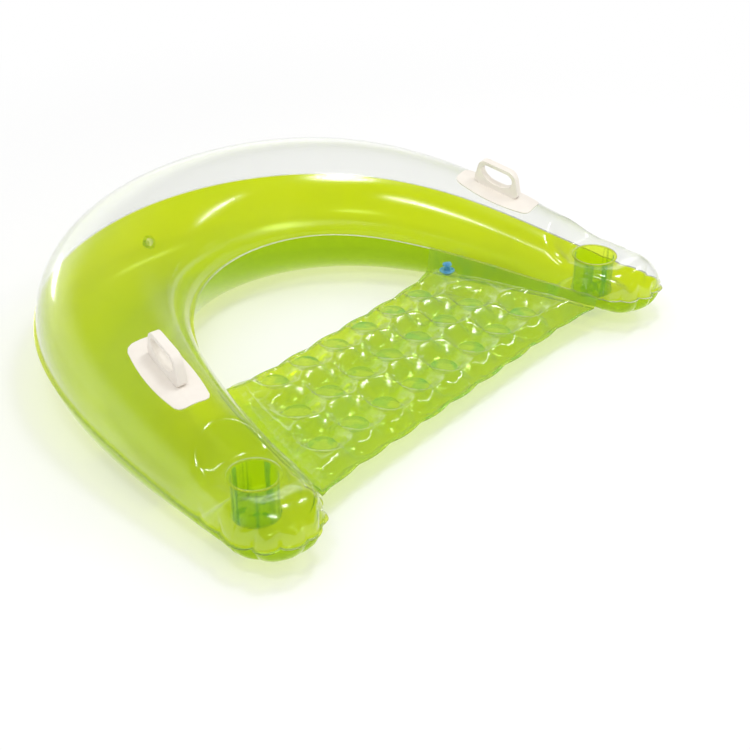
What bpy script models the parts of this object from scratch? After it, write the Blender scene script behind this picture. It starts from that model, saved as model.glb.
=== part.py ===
# Inflatable pool chair: a horseshoe tube with a quilted seat, two cup wells and two grab handles.
# Metres, +Z up. The open front looks along -Y, and the chair rests on the plane z = 0.
import math

import bmesh
import bpy
import numpy as np
from mathutils import Matrix, Vector, geometry

# Whole chair
OVERALL_WIDTH = 1.20           # across the arms, over the weld flanges
OVERALL_LENGTH = 1.00          # from the back to the arm tips, over the weld flanges
BACK_TUBE_WIDTH = 0.312        # tube across, at the middle of the back
TIP_TUBE_WIDTH = 0.172         # tube across, at the arm tips
TUBE_HEIGHT_RATIO = 0.92       # height over width of the filled tube at the back
TIP_RISE = 0.064               # height of the upper panel over the seam, at the arm tips
RISE_FALLOFF = 1.9             # how late along the arms the upper panel loses its height
TIP_LIFT = 0.024               # how far the arm tips stand off the floor
TIP_LIFT_START = 0.6           # share of the way from the back to the tips at which they start to lift
ARM_SPLAY = 0.106              # how far each arm opens out by its tip
FLOOR_PRESS = 0.04             # share of the half height that the floor presses flat

# Vinyl sheets and their welds
SHEET = 0.00045
GAP = 0.0003                   # clearance between pieces that touch
FLANGE = 0.006                 # welded edge that stands out along the seams

# Cup wells
CUP_RADIUS = 0.041
CUP_SETBACK = 0.0568           # a cup's place on the tube's line, behind the centre of the tip's round end
CUP_INSET = 0.0059             # from that line to the cup's axis, towards the seat
CUP_RIM_HEIGHT = 0.124
CUP_FLOOR_HEIGHT = 0.048
CUP_WALL = 0.0007
CUP_FLOOR = 0.0010
CUP_FLANGE = 0.0055
DISH_FLAT = 0.012              # level ring round a cup
DISH_REACH = 0.050             # how far the draw of a cup spreads past that ring

# Seat mattress
SEAT_HEIGHT = 0.062            # height of the seat's welds
SEAT_FRONT_SETBACK = 0.003     # front edge, behind the centres of the tips' round ends
SEAT_LENGTH = 0.325            # from the front edge to the back edge, at the middle
SEAT_BACK_FLARE = 0.022        # how far the back edge swings back at its ends
SEAT_FRONT_FLARE = 0.010
SEAT_WELD = 0.007
SEAT_PUFF = 0.026              # how far each sheet stands out between welds
SEAT_PUFF_REACH = 0.028        # distance from a weld at which a sheet is at its fullest
DOT_RADIUS = 0.0255
DOT_ROWS = 3
DOTS_IN_FRONT_ROW = 8          # each row behind it has one dot less
DOT_FRONT_MARGIN = 0.087       # front row of dots, behind the front edge
DOT_BACK_MARGIN = 0.038        # back row of dots, before the back edge
DOT_SIDE_MARGIN = 0.087        # end dots of the front row, in from the sides

# Strips that join the seat to the tube's inner seam
STRIP_START = 0.001
STRIP_TURN = 0.0078            # where the strip leaves the seam flange
STRIP_DROP_RUN = 0.010         # how far in the strip moves while it drops to the seat
STRIP_LAP = 0.006              # how much of it lies on the seat's welded edge

# Grab handles
HANDLE_SETBACK = 0.287         # a handle's place on the tube's line, behind the centre of the tip's round end
HANDLE_PLATE_LENGTH = 0.173
HANDLE_PLATE_END = 0.062
HANDLE_PLATE_BULGE = 0.011     # how far each long side bows out
HANDLE_PLATE_CORNER = 0.012
HANDLE_PLATE = 0.0024
HANDLE_SEAT_GAP = 0.0004
GRIP_LENGTH = 0.080
GRIP_HEIGHT = 0.055
GRIP_DEPTH = 0.018
GRIP_CORNER = 0.014
GRIP_FLARE = 0.32              # share by which the grip widens to its foot
GRIP_BAR = 0.008
GRIP_FOOT = 0.012              # solid foot under the lowest point of the finger hole

# Valves
VALVE_FLANGE_RADIUS = 0.016
VALVE_FLANGE = 0.0009
VALVE_NECK_RADIUS = 0.0079
VALVE_NECK_DEPTH = 0.0040
VALVE_COLLAR = 0.0014          # top of the raised collar over the flange's underside
STEM_RADIUS = 0.0055
STEM_BORE = 0.0040
STEM_RUN = 0.0003              # running clearance round the stem
STEM_LIP_RADIUS = 0.0072
STEM_LIP = 0.0012
STEM_HEIGHT = 0.0144
STEM_HEAD_RADIUS = 0.0097
STEM_HEAD = 0.0014
HINGE_OFFSET = 0.0085          # from the stem's axis to the stopper's hinge
STOPPER_CAP = 0.0016
STOPPER_CAP_RADIUS = 0.0065
STOPPER_TAB_WIDTH = 0.0040
STOPPER_TAB = 0.0012
STOPPER_PULL = 0.0092
STOPPER_DEPTH = 0.0050
FLAP = 0.0005
FLAP_RADIUS = 0.0048
FLAP_TAB = 0.0008
FLAP_TAB_WIDTH = 0.0040
SEAT_VALVE_SIDE_MARGIN = 0.031 # seat valve's axis, in from the seat's side
SEAT_VALVE_BACK_MARGIN = 0.042 # seat valve's axis, before the seat's back edge
TUBE_VALVE_ANGLE = 60          # degrees round the tube from its underside, on the outer side
TUBE_VALVE_SHARE = 0.0         # place along the tube: 0 is the middle of the back, 1 an arm tip

VALVE_HOLE = VALVE_NECK_RADIUS + 2 * GAP

# Facets
TUBE_STEPS = 28                # sections on each half of the tube
CAP_STEPS = 4
ROUND_STEPS = 12               # sides of half a tube section
CIRCLE_STEPS = 24
SMALL_CIRCLE_STEPS = 20
STRIP_STEPS = 12
DOT_STEPS = 8

GREEN = (0.42, 0.66, 0.02, 1.0)
DEEP_GREEN = (0.25, 0.55, 0.03, 1.0)
CLEAR = (0.90, 0.94, 0.92, 0.30)
CREAM = (0.84, 0.80, 0.74, 1.0)
BLUE = (0.10, 0.42, 0.72, 0.80)


for old in list(bpy.data.objects):
    bpy.data.objects.remove(old)


# Materials and objects

def material(name, color, roughness):
    made = bpy.data.materials.new(name)
    made.use_nodes = True
    shader = made.node_tree.nodes["Principled BSDF"]
    shader.inputs["Base Color"].default_value = color
    shader.inputs["Roughness"].default_value = roughness
    shader.inputs["Metallic"].default_value = 0.0
    shader.inputs["Alpha"].default_value = color[3]
    return made


def add_object(name, bm, color, roughness=0.25, sharp_angle=40):
    mesh = bpy.data.meshes.new(name)
    bm.to_mesh(mesh)
    bm.free()
    mesh.shade_smooth()
    mesh.set_sharp_from_angle(angle=math.radians(sharp_angle))
    made = bpy.data.objects.new(name, mesh)
    bpy.context.scene.collection.objects.link(made)
    made.data.materials.append(material(name, color, roughness))
    return made


def add_union(name, base, operand_bm):
    # Joins a second closed shape to an object, and keeps the second shape only as a guide.
    mesh = bpy.data.meshes.new(name)
    operand_bm.to_mesh(mesh)
    operand_bm.free()
    guide = bpy.data.objects.new(name, mesh)
    bpy.context.scene.collection.objects.link(guide)
    guide.hide_render = True
    guide.display_type = "WIRE"
    union = base.modifiers.new("union", "BOOLEAN")
    union.operation = "UNION"
    union.solver = "EXACT"
    union.object = guide
    return guide


# Shape tools

def smoothstep(t):
    t = min(max(t, 0.0), 1.0)
    return t * t * (3.0 - 2.0 * t)


def face_towards(bm, direction):
    # Makes an open sheet's faces agree, with most of them looking along the direction.
    bmesh.ops.recalc_face_normals(bm, faces=bm.faces)
    total = Vector((0, 0, 0))
    for face in bm.faces:
        total += face.normal * face.calc_area()
    if total.dot(direction) < 0:
        bmesh.ops.reverse_faces(bm, faces=bm.faces)


def thicken(bm, thickness, lowest=None):
    # Turns an open sheet into a closed one: a second skin on its front side, and a rim.
    bm.normal_update()
    faces = list(bm.faces)
    rims = [edge for edge in bm.edges if len(edge.link_faces) == 1]
    rim_loops = [(edge, edge.link_loops[0]) for edge in rims]
    pairs = {}
    for vert in list(bm.verts):
        moved = vert.co + vert.normal * (thickness * vert.calc_shell_factor())
        if lowest is not None:
            moved.z = max(moved.z, lowest)
        pairs[vert] = moved
    skin = {vert: bm.verts.new(place) for vert, place in pairs.items()}
    walls = []
    for edge, loop in rim_loops:
        start, end = loop.vert, loop.link_loop_next.vert
        walls.append((end, start, skin[start], skin[end]))
    for face in faces:
        bm.faces.new([skin[vert] for vert in face.verts])
    bmesh.ops.reverse_faces(bm, faces=faces)
    for wall in walls:
        bm.faces.new(wall[::-1])
    bmesh.ops.recalc_face_normals(bm, faces=bm.faces)
    return bm


def knit(bm, outer, inner, centre, axis_x, axis_y, up):
    # Fills the band between two rings of vertices that both go round a centre.
    def turned(verts):
        marked = []
        for vert in verts:
            arm = vert.co - centre
            marked.append((math.atan2(arm.dot(axis_y), arm.dot(axis_x)), vert))
        marked.sort(key=lambda pair: pair[0])
        first = marked[0]
        return marked + [(first[0] + 2 * math.pi, first[1])]

    ring_a, ring_b = turned(outer), turned(inner)
    i = j = 0
    while i < len(ring_a) - 1 or j < len(ring_b) - 1:
        step_a = j == len(ring_b) - 1 or (i < len(ring_a) - 1 and ring_a[i + 1][0] < ring_b[j + 1][0])
        if step_a:
            corners = (ring_a[i][1], ring_a[i + 1][1], ring_b[j][1])
            i += 1
        else:
            corners = (ring_a[i][1], ring_b[j + 1][1], ring_b[j][1])
            j += 1
        face = bm.faces.new(corners)
        face.normal_update()
        if face.normal.dot(up) < 0:
            face.normal_flip()


def round_patch(bm, centre, axis_x, axis_y, clear, rings, closed):
    # Cuts a jagged opening in a sheet, and knits round rings into it. rings: (radius, place function).
    up = axis_x.cross(axis_y)
    gone = []
    for face in bm.faces:
        arm = face.calc_center_median() - centre
        flat = arm - up * arm.dot(up)
        if flat.length < clear and abs(arm.dot(up)) < clear and face.normal.dot(up) > 0.2:
            gone.append(face)
    touched = {vert for face in gone for vert in face.verts}
    bmesh.ops.delete(bm, geom=gone, context="FACES")
    edge_verts = set()
    for vert in touched:
        if vert.is_valid and any(len(edge.link_faces) == 1 for edge in vert.link_edges):
            edge_verts.add(vert)
    outer = sorted(edge_verts, key=lambda vert: vert.index)
    for radius, place in rings:
        inner = []
        for step in range(CIRCLE_STEPS):
            turn = 2 * math.pi * step / CIRCLE_STEPS
            point = centre + axis_x * (radius * math.cos(turn)) + axis_y * (radius * math.sin(turn))
            inner.append(bm.verts.new(place(point)))
        knit(bm, outer, inner, centre, axis_x, axis_y, up)
        outer = inner
    if closed:
        face = bm.faces.new(outer)
        face.normal_update()
        if face.normal.dot(up) < 0:
            face.normal_flip()


def revolve(profile, steps):
    # Turns a closed outline of (radius, height) points round the Z axis; radius 0 lies on the axis.
    bm = bmesh.new()
    rows = []
    for radius, height in profile:
        if radius == 0:
            rows.append([bm.verts.new((0, 0, height))])
            continue
        row = []
        for step in range(steps):
            turn = 2 * math.pi * step / steps
            row.append(bm.verts.new((radius * math.cos(turn), radius * math.sin(turn), height)))
        rows.append(row)
    for low, high in zip(rows, rows[1:] + rows[:1]):
        if len(low) == 1 and len(high) == 1:
            continue
        for step in range(steps):
            after = (step + 1) % steps
            corners = [low[step % len(low)], low[after % len(low)],
                       high[after % len(high)], high[step % len(high)]]
            bm.faces.new(list(dict.fromkeys(corners)))
    bmesh.ops.recalc_face_normals(bm, faces=bm.faces)
    return bm


def box(low, high):
    bm = bmesh.new()
    size = Vector(high) - Vector(low)
    middle = (Vector(high) + Vector(low)) / 2
    place = Matrix.Translation(middle) @ Matrix.Diagonal((*size, 1.0))
    bmesh.ops.create_cube(bm, size=1.0, matrix=place)
    return bm


# The tube's line

TIP_RADIUS = TIP_TUBE_WIDTH / 2
BACK_RADIUS = BACK_TUBE_WIDTH / 2
BACK_LINE = OVERALL_LENGTH / 2 - FLANGE - BACK_RADIUS       # y of the tube's axis at the back
TIP_LINE = -(OVERALL_LENGTH / 2 - FLANGE - TIP_RADIUS)      # y of its axis at the tips
ARCH_REACH = OVERALL_WIDTH / 2 - FLANGE - TIP_RADIUS - ARM_SPLAY


def line_table(count=2000):
    # The axis of one half of the tube: x is a flattened arch plus the splay, with even steps in root v.
    v = (np.arange(count + 1) / count) ** 2
    x = ARCH_REACH * np.sqrt(1 - (1 - v) ** 4) + ARM_SPLAY * v
    y = BACK_LINE + (TIP_LINE - BACK_LINE) * v
    taper = 1 - (v + 3 * v ** 2 - 2 * v ** 3) / 2
    radius = TIP_RADIUS + (BACK_RADIUS - TIP_RADIUS) * taper
    along = np.concatenate([[0.0], np.cumsum(np.hypot(np.diff(x), np.diff(y)))])
    slope_x = np.gradient(x, along)
    slope_y = np.gradient(y, along)
    slope_x[0], slope_y[0] = 1.0, 0.0
    return {"along": along, "v": v, "x": x, "y": y, "radius": radius, "slope_x": slope_x, "slope_y": slope_y}


LINE = line_table()
HALF_LENGTH = float(LINE["along"][-1])


class Section:
    # One cut through the tube. share runs from -1 at the -X tip over the back to 1 at the +X tip.
    def __init__(self, share):
        along = abs(share) * HALF_LENGTH
        side = -1.0 if share < 0 else 1.0
        read = {key: float(np.interp(along, LINE["along"], LINE[key])) for key in LINE if key != "along"}
        self.centre = Vector((side * read["x"], read["y"], 0.0))
        self.run = Vector((read["slope_x"], side * read["slope_y"], 0.0)).normalized()
        self.inward = Vector((self.run.y, -self.run.x, 0.0))
        self.radius = read["radius"]
        full = BACK_RADIUS * TUBE_HEIGHT_RATIO
        lift = TIP_LIFT * smoothstep((read["v"] - TIP_LIFT_START) / (1 - TIP_LIFT_START))
        self.rise = TIP_RISE + (full - TIP_RISE) * (1 - read["v"] ** RISE_FALLOFF)
        self.fall = self.radius * TUBE_HEIGHT_RATIO - lift
        self.seam = self.radius * TUBE_HEIGHT_RATIO * (1 - FLOOR_PRESS) + SHEET

    def seam_point(self, offset=0.0):
        return self.centre + self.inward * (self.radius + offset)


def top_height(x, y):
    # Height of the upper panel's air side over a point of the plan, without the dishes round the cups.
    gaps = np.hypot(LINE["x"] - abs(x), LINE["y"] - y)
    near = int(np.argmin(gaps))
    section = Section(float(LINE["along"][near]) / HALF_LENGTH)
    inside = max(0.0, 1 - (float(gaps[near]) / section.radius) ** 2)
    return section.seam + GAP / 2 + section.rise * math.sqrt(inside)


def share_at(y):
    # Place along the tube at which the inner seam passes a given y.
    low, high = 0.0, 1.0
    for _ in range(40):
        middle = (low + high) / 2
        if Section(middle).seam_point().y > y:
            low = middle
        else:
            high = middle
    return (low + high) / 2


def share_at_line(y):
    # Place along the tube at which its axis passes a given y.
    return float(np.interp(-y, -LINE["y"], LINE["along"])) / HALF_LENGTH


# Tube panels

CUP_SECTION = Section(share_at_line(TIP_LINE + CUP_SETBACK))
CUP_PLACE = CUP_SECTION.centre + CUP_SECTION.inward * CUP_INSET
CUP_AXES = {"left": CUP_PLACE, "right": Vector((-CUP_PLACE.x, CUP_PLACE.y, 0))}


def dish(point, level, share_to_seam):
    # Draws a sheet towards a cup's rim or floor: level at the cup, nothing at the seams.
    height = point.z
    for axis in CUP_AXES.values():
        away = math.hypot(point.x - axis.x, point.y - axis.y)
        pull = 1 - smoothstep((away - CUP_RADIUS - DISH_FLAT) / DISH_REACH)
        pull *= smoothstep(share_to_seam / 0.5)
        height += (level - height) * pull
    return Vector((point.x, point.y, height))


def tube_rows(up):
    # Rows of points over half of the tube's section, from tip to tip, with the rows of the round ends.
    rows = []
    level = CUP_RIM_HEIGHT if up > 0 else CUP_FLOOR_HEIGHT
    stations = []
    for step in range(-TUBE_STEPS, TUBE_STEPS + 1):
        stations.append((Section(step / TUBE_STEPS), 0.0, 0.0))
    tips = (Section(-1.0), Section(1.0))
    for step in range(1, CAP_STEPS + 1):
        turn = math.pi / 2 * step / CAP_STEPS
        stations.insert(0, (tips[0], turn, -1.0))
        stations.append((tips[1], turn, 1.0))
    for section, turn, end in stations:
        shrink = math.cos(turn)
        middle = section.centre + section.run * (end * section.radius * math.sin(turn))
        pole = abs(turn - math.pi / 2) < 1e-9
        row = []
        for step in range(ROUND_STEPS + 1):
            angle = math.pi * (step / ROUND_STEPS - 0.5)
            across = section.inward * (section.radius * shrink * math.sin(angle))
            rise = (section.rise if up > 0 else section.fall) * shrink * math.cos(angle)
            point = middle + across
            point.z = section.seam + up * (GAP / 2 + rise)
            point = dish(point, level, math.cos(angle) * shrink)
            if up < 0:
                point.z = max(point.z, SHEET)
            row.append(point)
            if pole:
                break
        outward = section.run * (end * math.sin(turn) * FLANGE)
        reach = section.inward * ((section.radius + FLANGE) * shrink)
        edges = (middle - reach + outward, middle + reach + outward)
        rims = []
        for edge in edges[:1] if pole else edges:
            edge.z = section.seam + up * GAP / 2
            rims.append(edge)
        rows.append((row, rims))
    return rows


def tube_sheet(up):
    # One open sheet: half of the horseshoe with its weld flange all round.
    bm = bmesh.new()
    rows = [([bm.verts.new(p) for p in row], [bm.verts.new(p) for p in rims]) for row, rims in tube_rows(up)]
    for (row_a, rims_a), (row_b, rims_b) in zip(rows, rows[1:]):
        wide = max(len(row_a), len(row_b))
        for step in range(wide - 1):
            corners = [row_a[min(step, len(row_a) - 1)], row_a[min(step + 1, len(row_a) - 1)],
                       row_b[min(step + 1, len(row_b) - 1)], row_b[min(step, len(row_b) - 1)]]
            bm.faces.new(list(dict.fromkeys(corners)))
        for end in (0, -1):
            bm.faces.new((row_a[end], row_b[end], rims_b[end], rims_a[end]))
    face_towards(bm, Vector((0, 0, up)))
    bm.verts.index_update()
    return bm


def make_tube_top_panel():
    bm = tube_sheet(1)
    flat = CUP_RADIUS + DISH_FLAT
    wide = flat + 0.2 * DISH_REACH
    for axis in CUP_AXES.values():
        centre = Vector((axis.x, axis.y, CUP_RIM_HEIGHT))

        def on_slope(point):
            return dish(Vector((point.x, point.y, top_height(point.x, point.y))), CUP_RIM_HEIGHT, 1.0)

        def level(point):
            return point

        rings = [(wide, on_slope), (flat, level), (CUP_RADIUS + GAP, level)]
        round_patch(bm, centre, Vector((1, 0, 0)), Vector((0, 1, 0)), wide * 1.06, rings, False)
        bm.verts.index_update()
    thicken(bm, SHEET)
    return add_object("tube_top_panel", bm, CLEAR, 0.08, 60)


def tube_valve_place():
    # Centre of the tube's valve on the air side of the lower panel, with the wall's own directions there.
    section = Section(TUBE_VALVE_SHARE)
    angle = math.radians(TUBE_VALVE_ANGLE)
    point = section.centre - section.inward * (section.radius * math.sin(angle))
    point.z = section.seam - section.fall * math.cos(angle)
    out = -section.inward * (math.sin(angle) / section.radius)
    out.z = -math.cos(angle) / section.fall
    out.normalize()
    return point, section.run.normalized(), out


def make_tube_bottom_panel():
    bm = tube_sheet(-1)
    flat = CUP_RADIUS + DISH_FLAT
    for axis in CUP_AXES.values():
        centre = Vector((axis.x, axis.y, CUP_FLOOR_HEIGHT))

        def level(point):
            return point

        round_patch(bm, centre, Vector((0, 1, 0)), Vector((1, 0, 0)), flat * 1.1, [(flat, level)], True)
        bm.verts.index_update()
    point, run, out = tube_valve_place()
    across = out.cross(run)

    def in_plane(place):
        return place

    rings = [(VALVE_FLANGE_RADIUS + 3 * GAP, in_plane), (VALVE_HOLE, in_plane)]
    round_patch(bm, point, run, across, VALVE_FLANGE_RADIUS * 2.2, rings, False)
    bm.verts.index_update()
    thicken(bm, SHEET, lowest=0.0)
    return add_object("tube_bottom_panel", bm, GREEN, 0.10, 60)


# Cup wells

def make_cup(side):
    axis = CUP_AXES[side]
    seat = CUP_RIM_HEIGHT + SHEET + GAP
    base = CUP_FLOOR_HEIGHT + GAP
    inner = CUP_RADIUS - CUP_WALL
    wide = CUP_RADIUS + CUP_FLANGE
    profile = [(inner, base), (wide, base), (wide, base + CUP_WALL), (CUP_RADIUS, base + CUP_WALL),
               (CUP_RADIUS, seat), (wide, seat), (wide, seat + CUP_WALL), (inner, seat + CUP_WALL)]
    sleeve = add_object("cup_sleeve_" + side, revolve(profile, CIRCLE_STEPS), DEEP_GREEN, 0.15)
    sleeve.location = axis
    disc = [(0, base), (inner - GAP, base), (inner - GAP, base + CUP_FLOOR), (0, base + CUP_FLOOR)]
    floor = add_object("cup_floor_" + side, revolve(disc, CIRCLE_STEPS), DEEP_GREEN, 0.15)
    floor.location = axis


# Seat

SEAT_FRONT = TIP_LINE + SEAT_FRONT_SETBACK       # y of the front edge at the middle
SEAT_BACK = SEAT_FRONT + SEAT_LENGTH             # y of the back edge at the middle
SEAT_SHARES = (share_at(SEAT_FRONT - SEAT_FRONT_FLARE), share_at(SEAT_BACK + SEAT_BACK_FLARE))
SEAT_INSET = STRIP_TURN + STRIP_DROP_RUN + GAP


def seat_side(offset, steps=STRIP_STEPS):
    # Points beside the +X inner seam, front to back, at a distance inward from it.
    points = []
    for step in range(steps + 1):
        share = SEAT_SHARES[0] + (SEAT_SHARES[1] - SEAT_SHARES[0]) * step / steps
        points.append(Section(share).seam_point(offset))
    return points


def reach_at(side, y):
    return float(np.interp(y, [p.y for p in side], [p.x for p in side]))


def seat_outline(inset):
    # The seat's edge, anticlockwise from the front: straight ends that flare, sides along the arms.
    right = seat_side(SEAT_INSET + inset)
    front, back = right[0].y + inset, right[-1].y - inset
    front_end, back_end = (Vector((reach_at(right, y), y, 0)) for y in (front, back))
    sides = [front_end] + [p for p in right if front + 0.002 < p.y < back - 0.002] + [back_end]
    edge = []
    count = 2 * DOTS_IN_FRONT_ROW

    def across(end, middle):
        for step in range(1, count):
            u = 2 * step / count - 1
            y = middle + (end.y - middle) * u ** 6
            edge.append(Vector((end.x * u, y, 0)))

    across(front_end, SEAT_FRONT + inset)
    edge.extend(sides)
    turned = len(edge)
    across(back_end, SEAT_BACK - inset)
    edge[turned:] = edge[turned:][::-1]
    edge.extend(Vector((-p.x, p.y, 0)) for p in sides[::-1])
    return edge


FRONT_ROW = SEAT_FRONT + DOT_FRONT_MARGIN
ROW_SPACING = (SEAT_BACK - DOT_BACK_MARGIN - FRONT_ROW) / (DOT_ROWS - 1)
DOT_REACH = reach_at(seat_side(SEAT_INSET), FRONT_ROW) - DOT_SIDE_MARGIN
DOT_SPACING = 2 * DOT_REACH / (DOTS_IN_FRONT_ROW - 1)


def dot_places():
    # Staggered rows of round welds.
    places = []
    for row in range(DOT_ROWS):
        count = DOTS_IN_FRONT_ROW - row
        for step in range(count):
            places.append(Vector(((step - (count - 1) / 2) * DOT_SPACING, FRONT_ROW + row * ROW_SPACING, 0)))
    return places


DOTS = dot_places()
SEAT_EDGE = seat_outline(SEAT_WELD)
SEAT_VALVE = Vector((0, SEAT_BACK - SEAT_VALVE_BACK_MARGIN, 0))
SEAT_VALVE.x = reach_at(seat_side(SEAT_INSET), SEAT_VALVE.y) - SEAT_VALVE_SIDE_MARGIN


def puff(point):
    # How far a sheet stands out at a point: nothing on a weld, full a little way off.
    nearest = min((point - dot).length for dot in DOTS) - DOT_RADIUS
    for start, end in zip(SEAT_EDGE, SEAT_EDGE[1:] + SEAT_EDGE[:1]):
        run = end - start
        if run.length < 1e-9:
            continue
        t = min(max((point - start).dot(run) / run.length_squared, 0.0), 1.0)
        nearest = min(nearest, (point - start - run * t).length)
    t = min(max(nearest / SEAT_PUFF_REACH, 0.0), 1.0)
    return SEAT_PUFF * math.sqrt(1 - (1 - t) ** 2)


def ring_points(centre, radius, steps, half_turn=0.0):
    turns = [2 * math.pi * (step + half_turn) / steps for step in range(steps)]
    return [centre + Vector((radius * math.cos(t), radius * math.sin(t), 0)) for t in turns]


def inside_seat(point, margin):
    inside = False
    near = 1.0
    for start, end in zip(SEAT_EDGE, SEAT_EDGE[1:] + SEAT_EDGE[:1]):
        if (start.y > point.y) != (end.y > point.y):
            crossing = start.x + (end.x - start.x) * (point.y - start.y) / (end.y - start.y)
            if crossing > point.x:
                inside = not inside
        near = min(near, (point - start).length)
    return inside and near >= margin


def make_seat_sheet(name, up, with_valve, color):
    points, rounds = [], []

    def add_loop(loop):
        start = len(points)
        points.extend(loop)
        rounds.extend((start + i, start + (i + 1) % len(loop)) for i in range(len(loop)))

    def unique(loop):
        kept = []
        for p in loop:
            if not kept or (p - kept[-1]).length > 1e-5:
                kept.append(p)
        if (kept[0] - kept[-1]).length < 1e-5:
            kept.pop()
        return kept

    valve_flat = VALVE_FLANGE_RADIUS + 3 * GAP
    add_loop(unique(seat_outline(0.0)))
    add_loop(unique(SEAT_EDGE))
    for dot in DOTS:
        add_loop(ring_points(dot, DOT_RADIUS, DOT_STEPS))
    if with_valve:
        add_loop(ring_points(SEAT_VALVE, VALVE_HOLE, DOT_STEPS + 4))
        add_loop(ring_points(SEAT_VALVE, valve_flat, DOT_STEPS + 4))
    crest = DOT_RADIUS + SEAT_PUFF_REACH * 0.35
    extras = []
    for dot in DOTS:
        extras.extend(ring_points(dot, crest, DOT_STEPS, 0.5))
    for row in range(2 * DOT_ROWS - 1):
        for step in range(-DOTS_IN_FRONT_ROW, DOTS_IN_FRONT_ROW + 1):
            extras.append(Vector((step * DOT_SPACING / 2, FRONT_ROW + (row - 0.5) * ROW_SPACING / 2, 0)))
    extras.extend(seat_outline(SEAT_WELD + SEAT_PUFF_REACH * 0.45))
    kept = []
    for point in extras:
        off_dot = min((point - dot).length for dot in DOTS) > DOT_RADIUS + 0.006
        off_valve = not with_valve or (point - SEAT_VALVE).length > valve_flat + 0.006
        apart = all((point - other).length > 0.014 for other in kept)
        if off_dot and off_valve and apart and inside_seat(point, 0.008):
            kept.append(point)
    points.extend(kept)
    flat = [Vector((p.x, p.y)) for p in points]
    verts, _, faces, _, _, _ = geometry.delaunay_2d_cdt(flat, rounds, [], 1, 1e-6)
    bm = bmesh.new()
    made = []
    for vert in verts:
        place = Vector((vert.x, vert.y, 0))
        from_valve = (place - SEAT_VALVE).length
        height = puff(SEAT_VALVE) if with_valve and from_valve < valve_flat + 1e-4 else puff(place)
        if not inside_seat(place, 0.0):
            height = 0.0
        place.z = SEAT_HEIGHT + up * (GAP / 2 + height)
        made.append(bm.verts.new(place))
    for face in faces:
        corners = [made[i] for i in face]
        middle = sum((v.co for v in corners), Vector()) / len(corners)
        middle.z = 0
        if with_valve and (middle - SEAT_VALVE).length < VALVE_NECK_RADIUS:
            continue
        bm.faces.new(corners)
    bmesh.ops.delete(bm, geom=[v for v in bm.verts if not v.link_faces], context="VERTS")
    face_towards(bm, Vector((0, 0, up)))
    thicken(bm, SHEET)
    return add_object(name, bm, color, 0.10, 60)


def make_joining_strip(side):
    # A strip of vinyl from the tube's inner seam flange down to the seat's welded side edge.
    mirror = 1 if side == "left" else -1
    on_seat = SEAT_HEIGHT + GAP / 2 + SHEET + GAP
    bm = bmesh.new()
    rows = []
    for step in range(STRIP_STEPS + 1):
        share = SEAT_SHARES[0] + (SEAT_SHARES[1] - SEAT_SHARES[0]) * step / STRIP_STEPS
        section = Section(share)
        on_flange = section.seam + GAP / 2 + SHEET + GAP
        drop_end = STRIP_TURN + STRIP_DROP_RUN
        stops = ((STRIP_START, on_flange), (STRIP_TURN, on_flange), (drop_end, on_seat),
                 (drop_end + GAP + STRIP_LAP, on_seat))
        row = []
        for offset, height in stops:
            place = section.seam_point(offset)
            row.append(bm.verts.new((mirror * place.x, place.y, height)))
        rows.append(row)
    for row_a, row_b in zip(rows, rows[1:]):
        for i in range(len(row_a) - 1):
            bm.faces.new((row_a[i], row_a[i + 1], row_b[i + 1], row_b[i]))
    face_towards(bm, Vector((0, 0, 1)))
    thicken(bm, SHEET)
    return add_object("seat_joining_strip_" + side, bm, GREEN, 0.12, 60)


# Grab handles

def rounded_outline(width, low, high, corner, steps=4):
    # A rectangle with round corners as (across, up) points, anticlockwise.
    points = []
    corner = min(corner, width / 2, (high - low) / 2)
    for turn, cx, cy in ((0, 1, 1), (1, -1, 1), (2, -1, -1), (3, 1, -1)):
        x = cx * (width / 2 - corner)
        y = (high - corner) if cy > 0 else (low + corner)
        for step in range(steps + 1):
            angle = math.pi / 2 * (turn + step / steps)
            points.append((x + corner * math.cos(angle), y + corner * math.sin(angle)))
    return points


def finger_hole(width, low, high, corner, steps=4):
    # A hole with a straight top between round corners and a bottom that hangs in an arc.
    points = rounded_outline(width, low, high, corner, steps)[:2 * (steps + 1)]
    shoulder = high - corner
    count = 2 * (steps + 1)
    for step in range(count):
        turn = math.pi * (1 + (step + 0.5) / count)
        points.append((width / 2 * math.cos(turn), shoulder + (shoulder - low) * math.sin(turn)))
    return points


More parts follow.
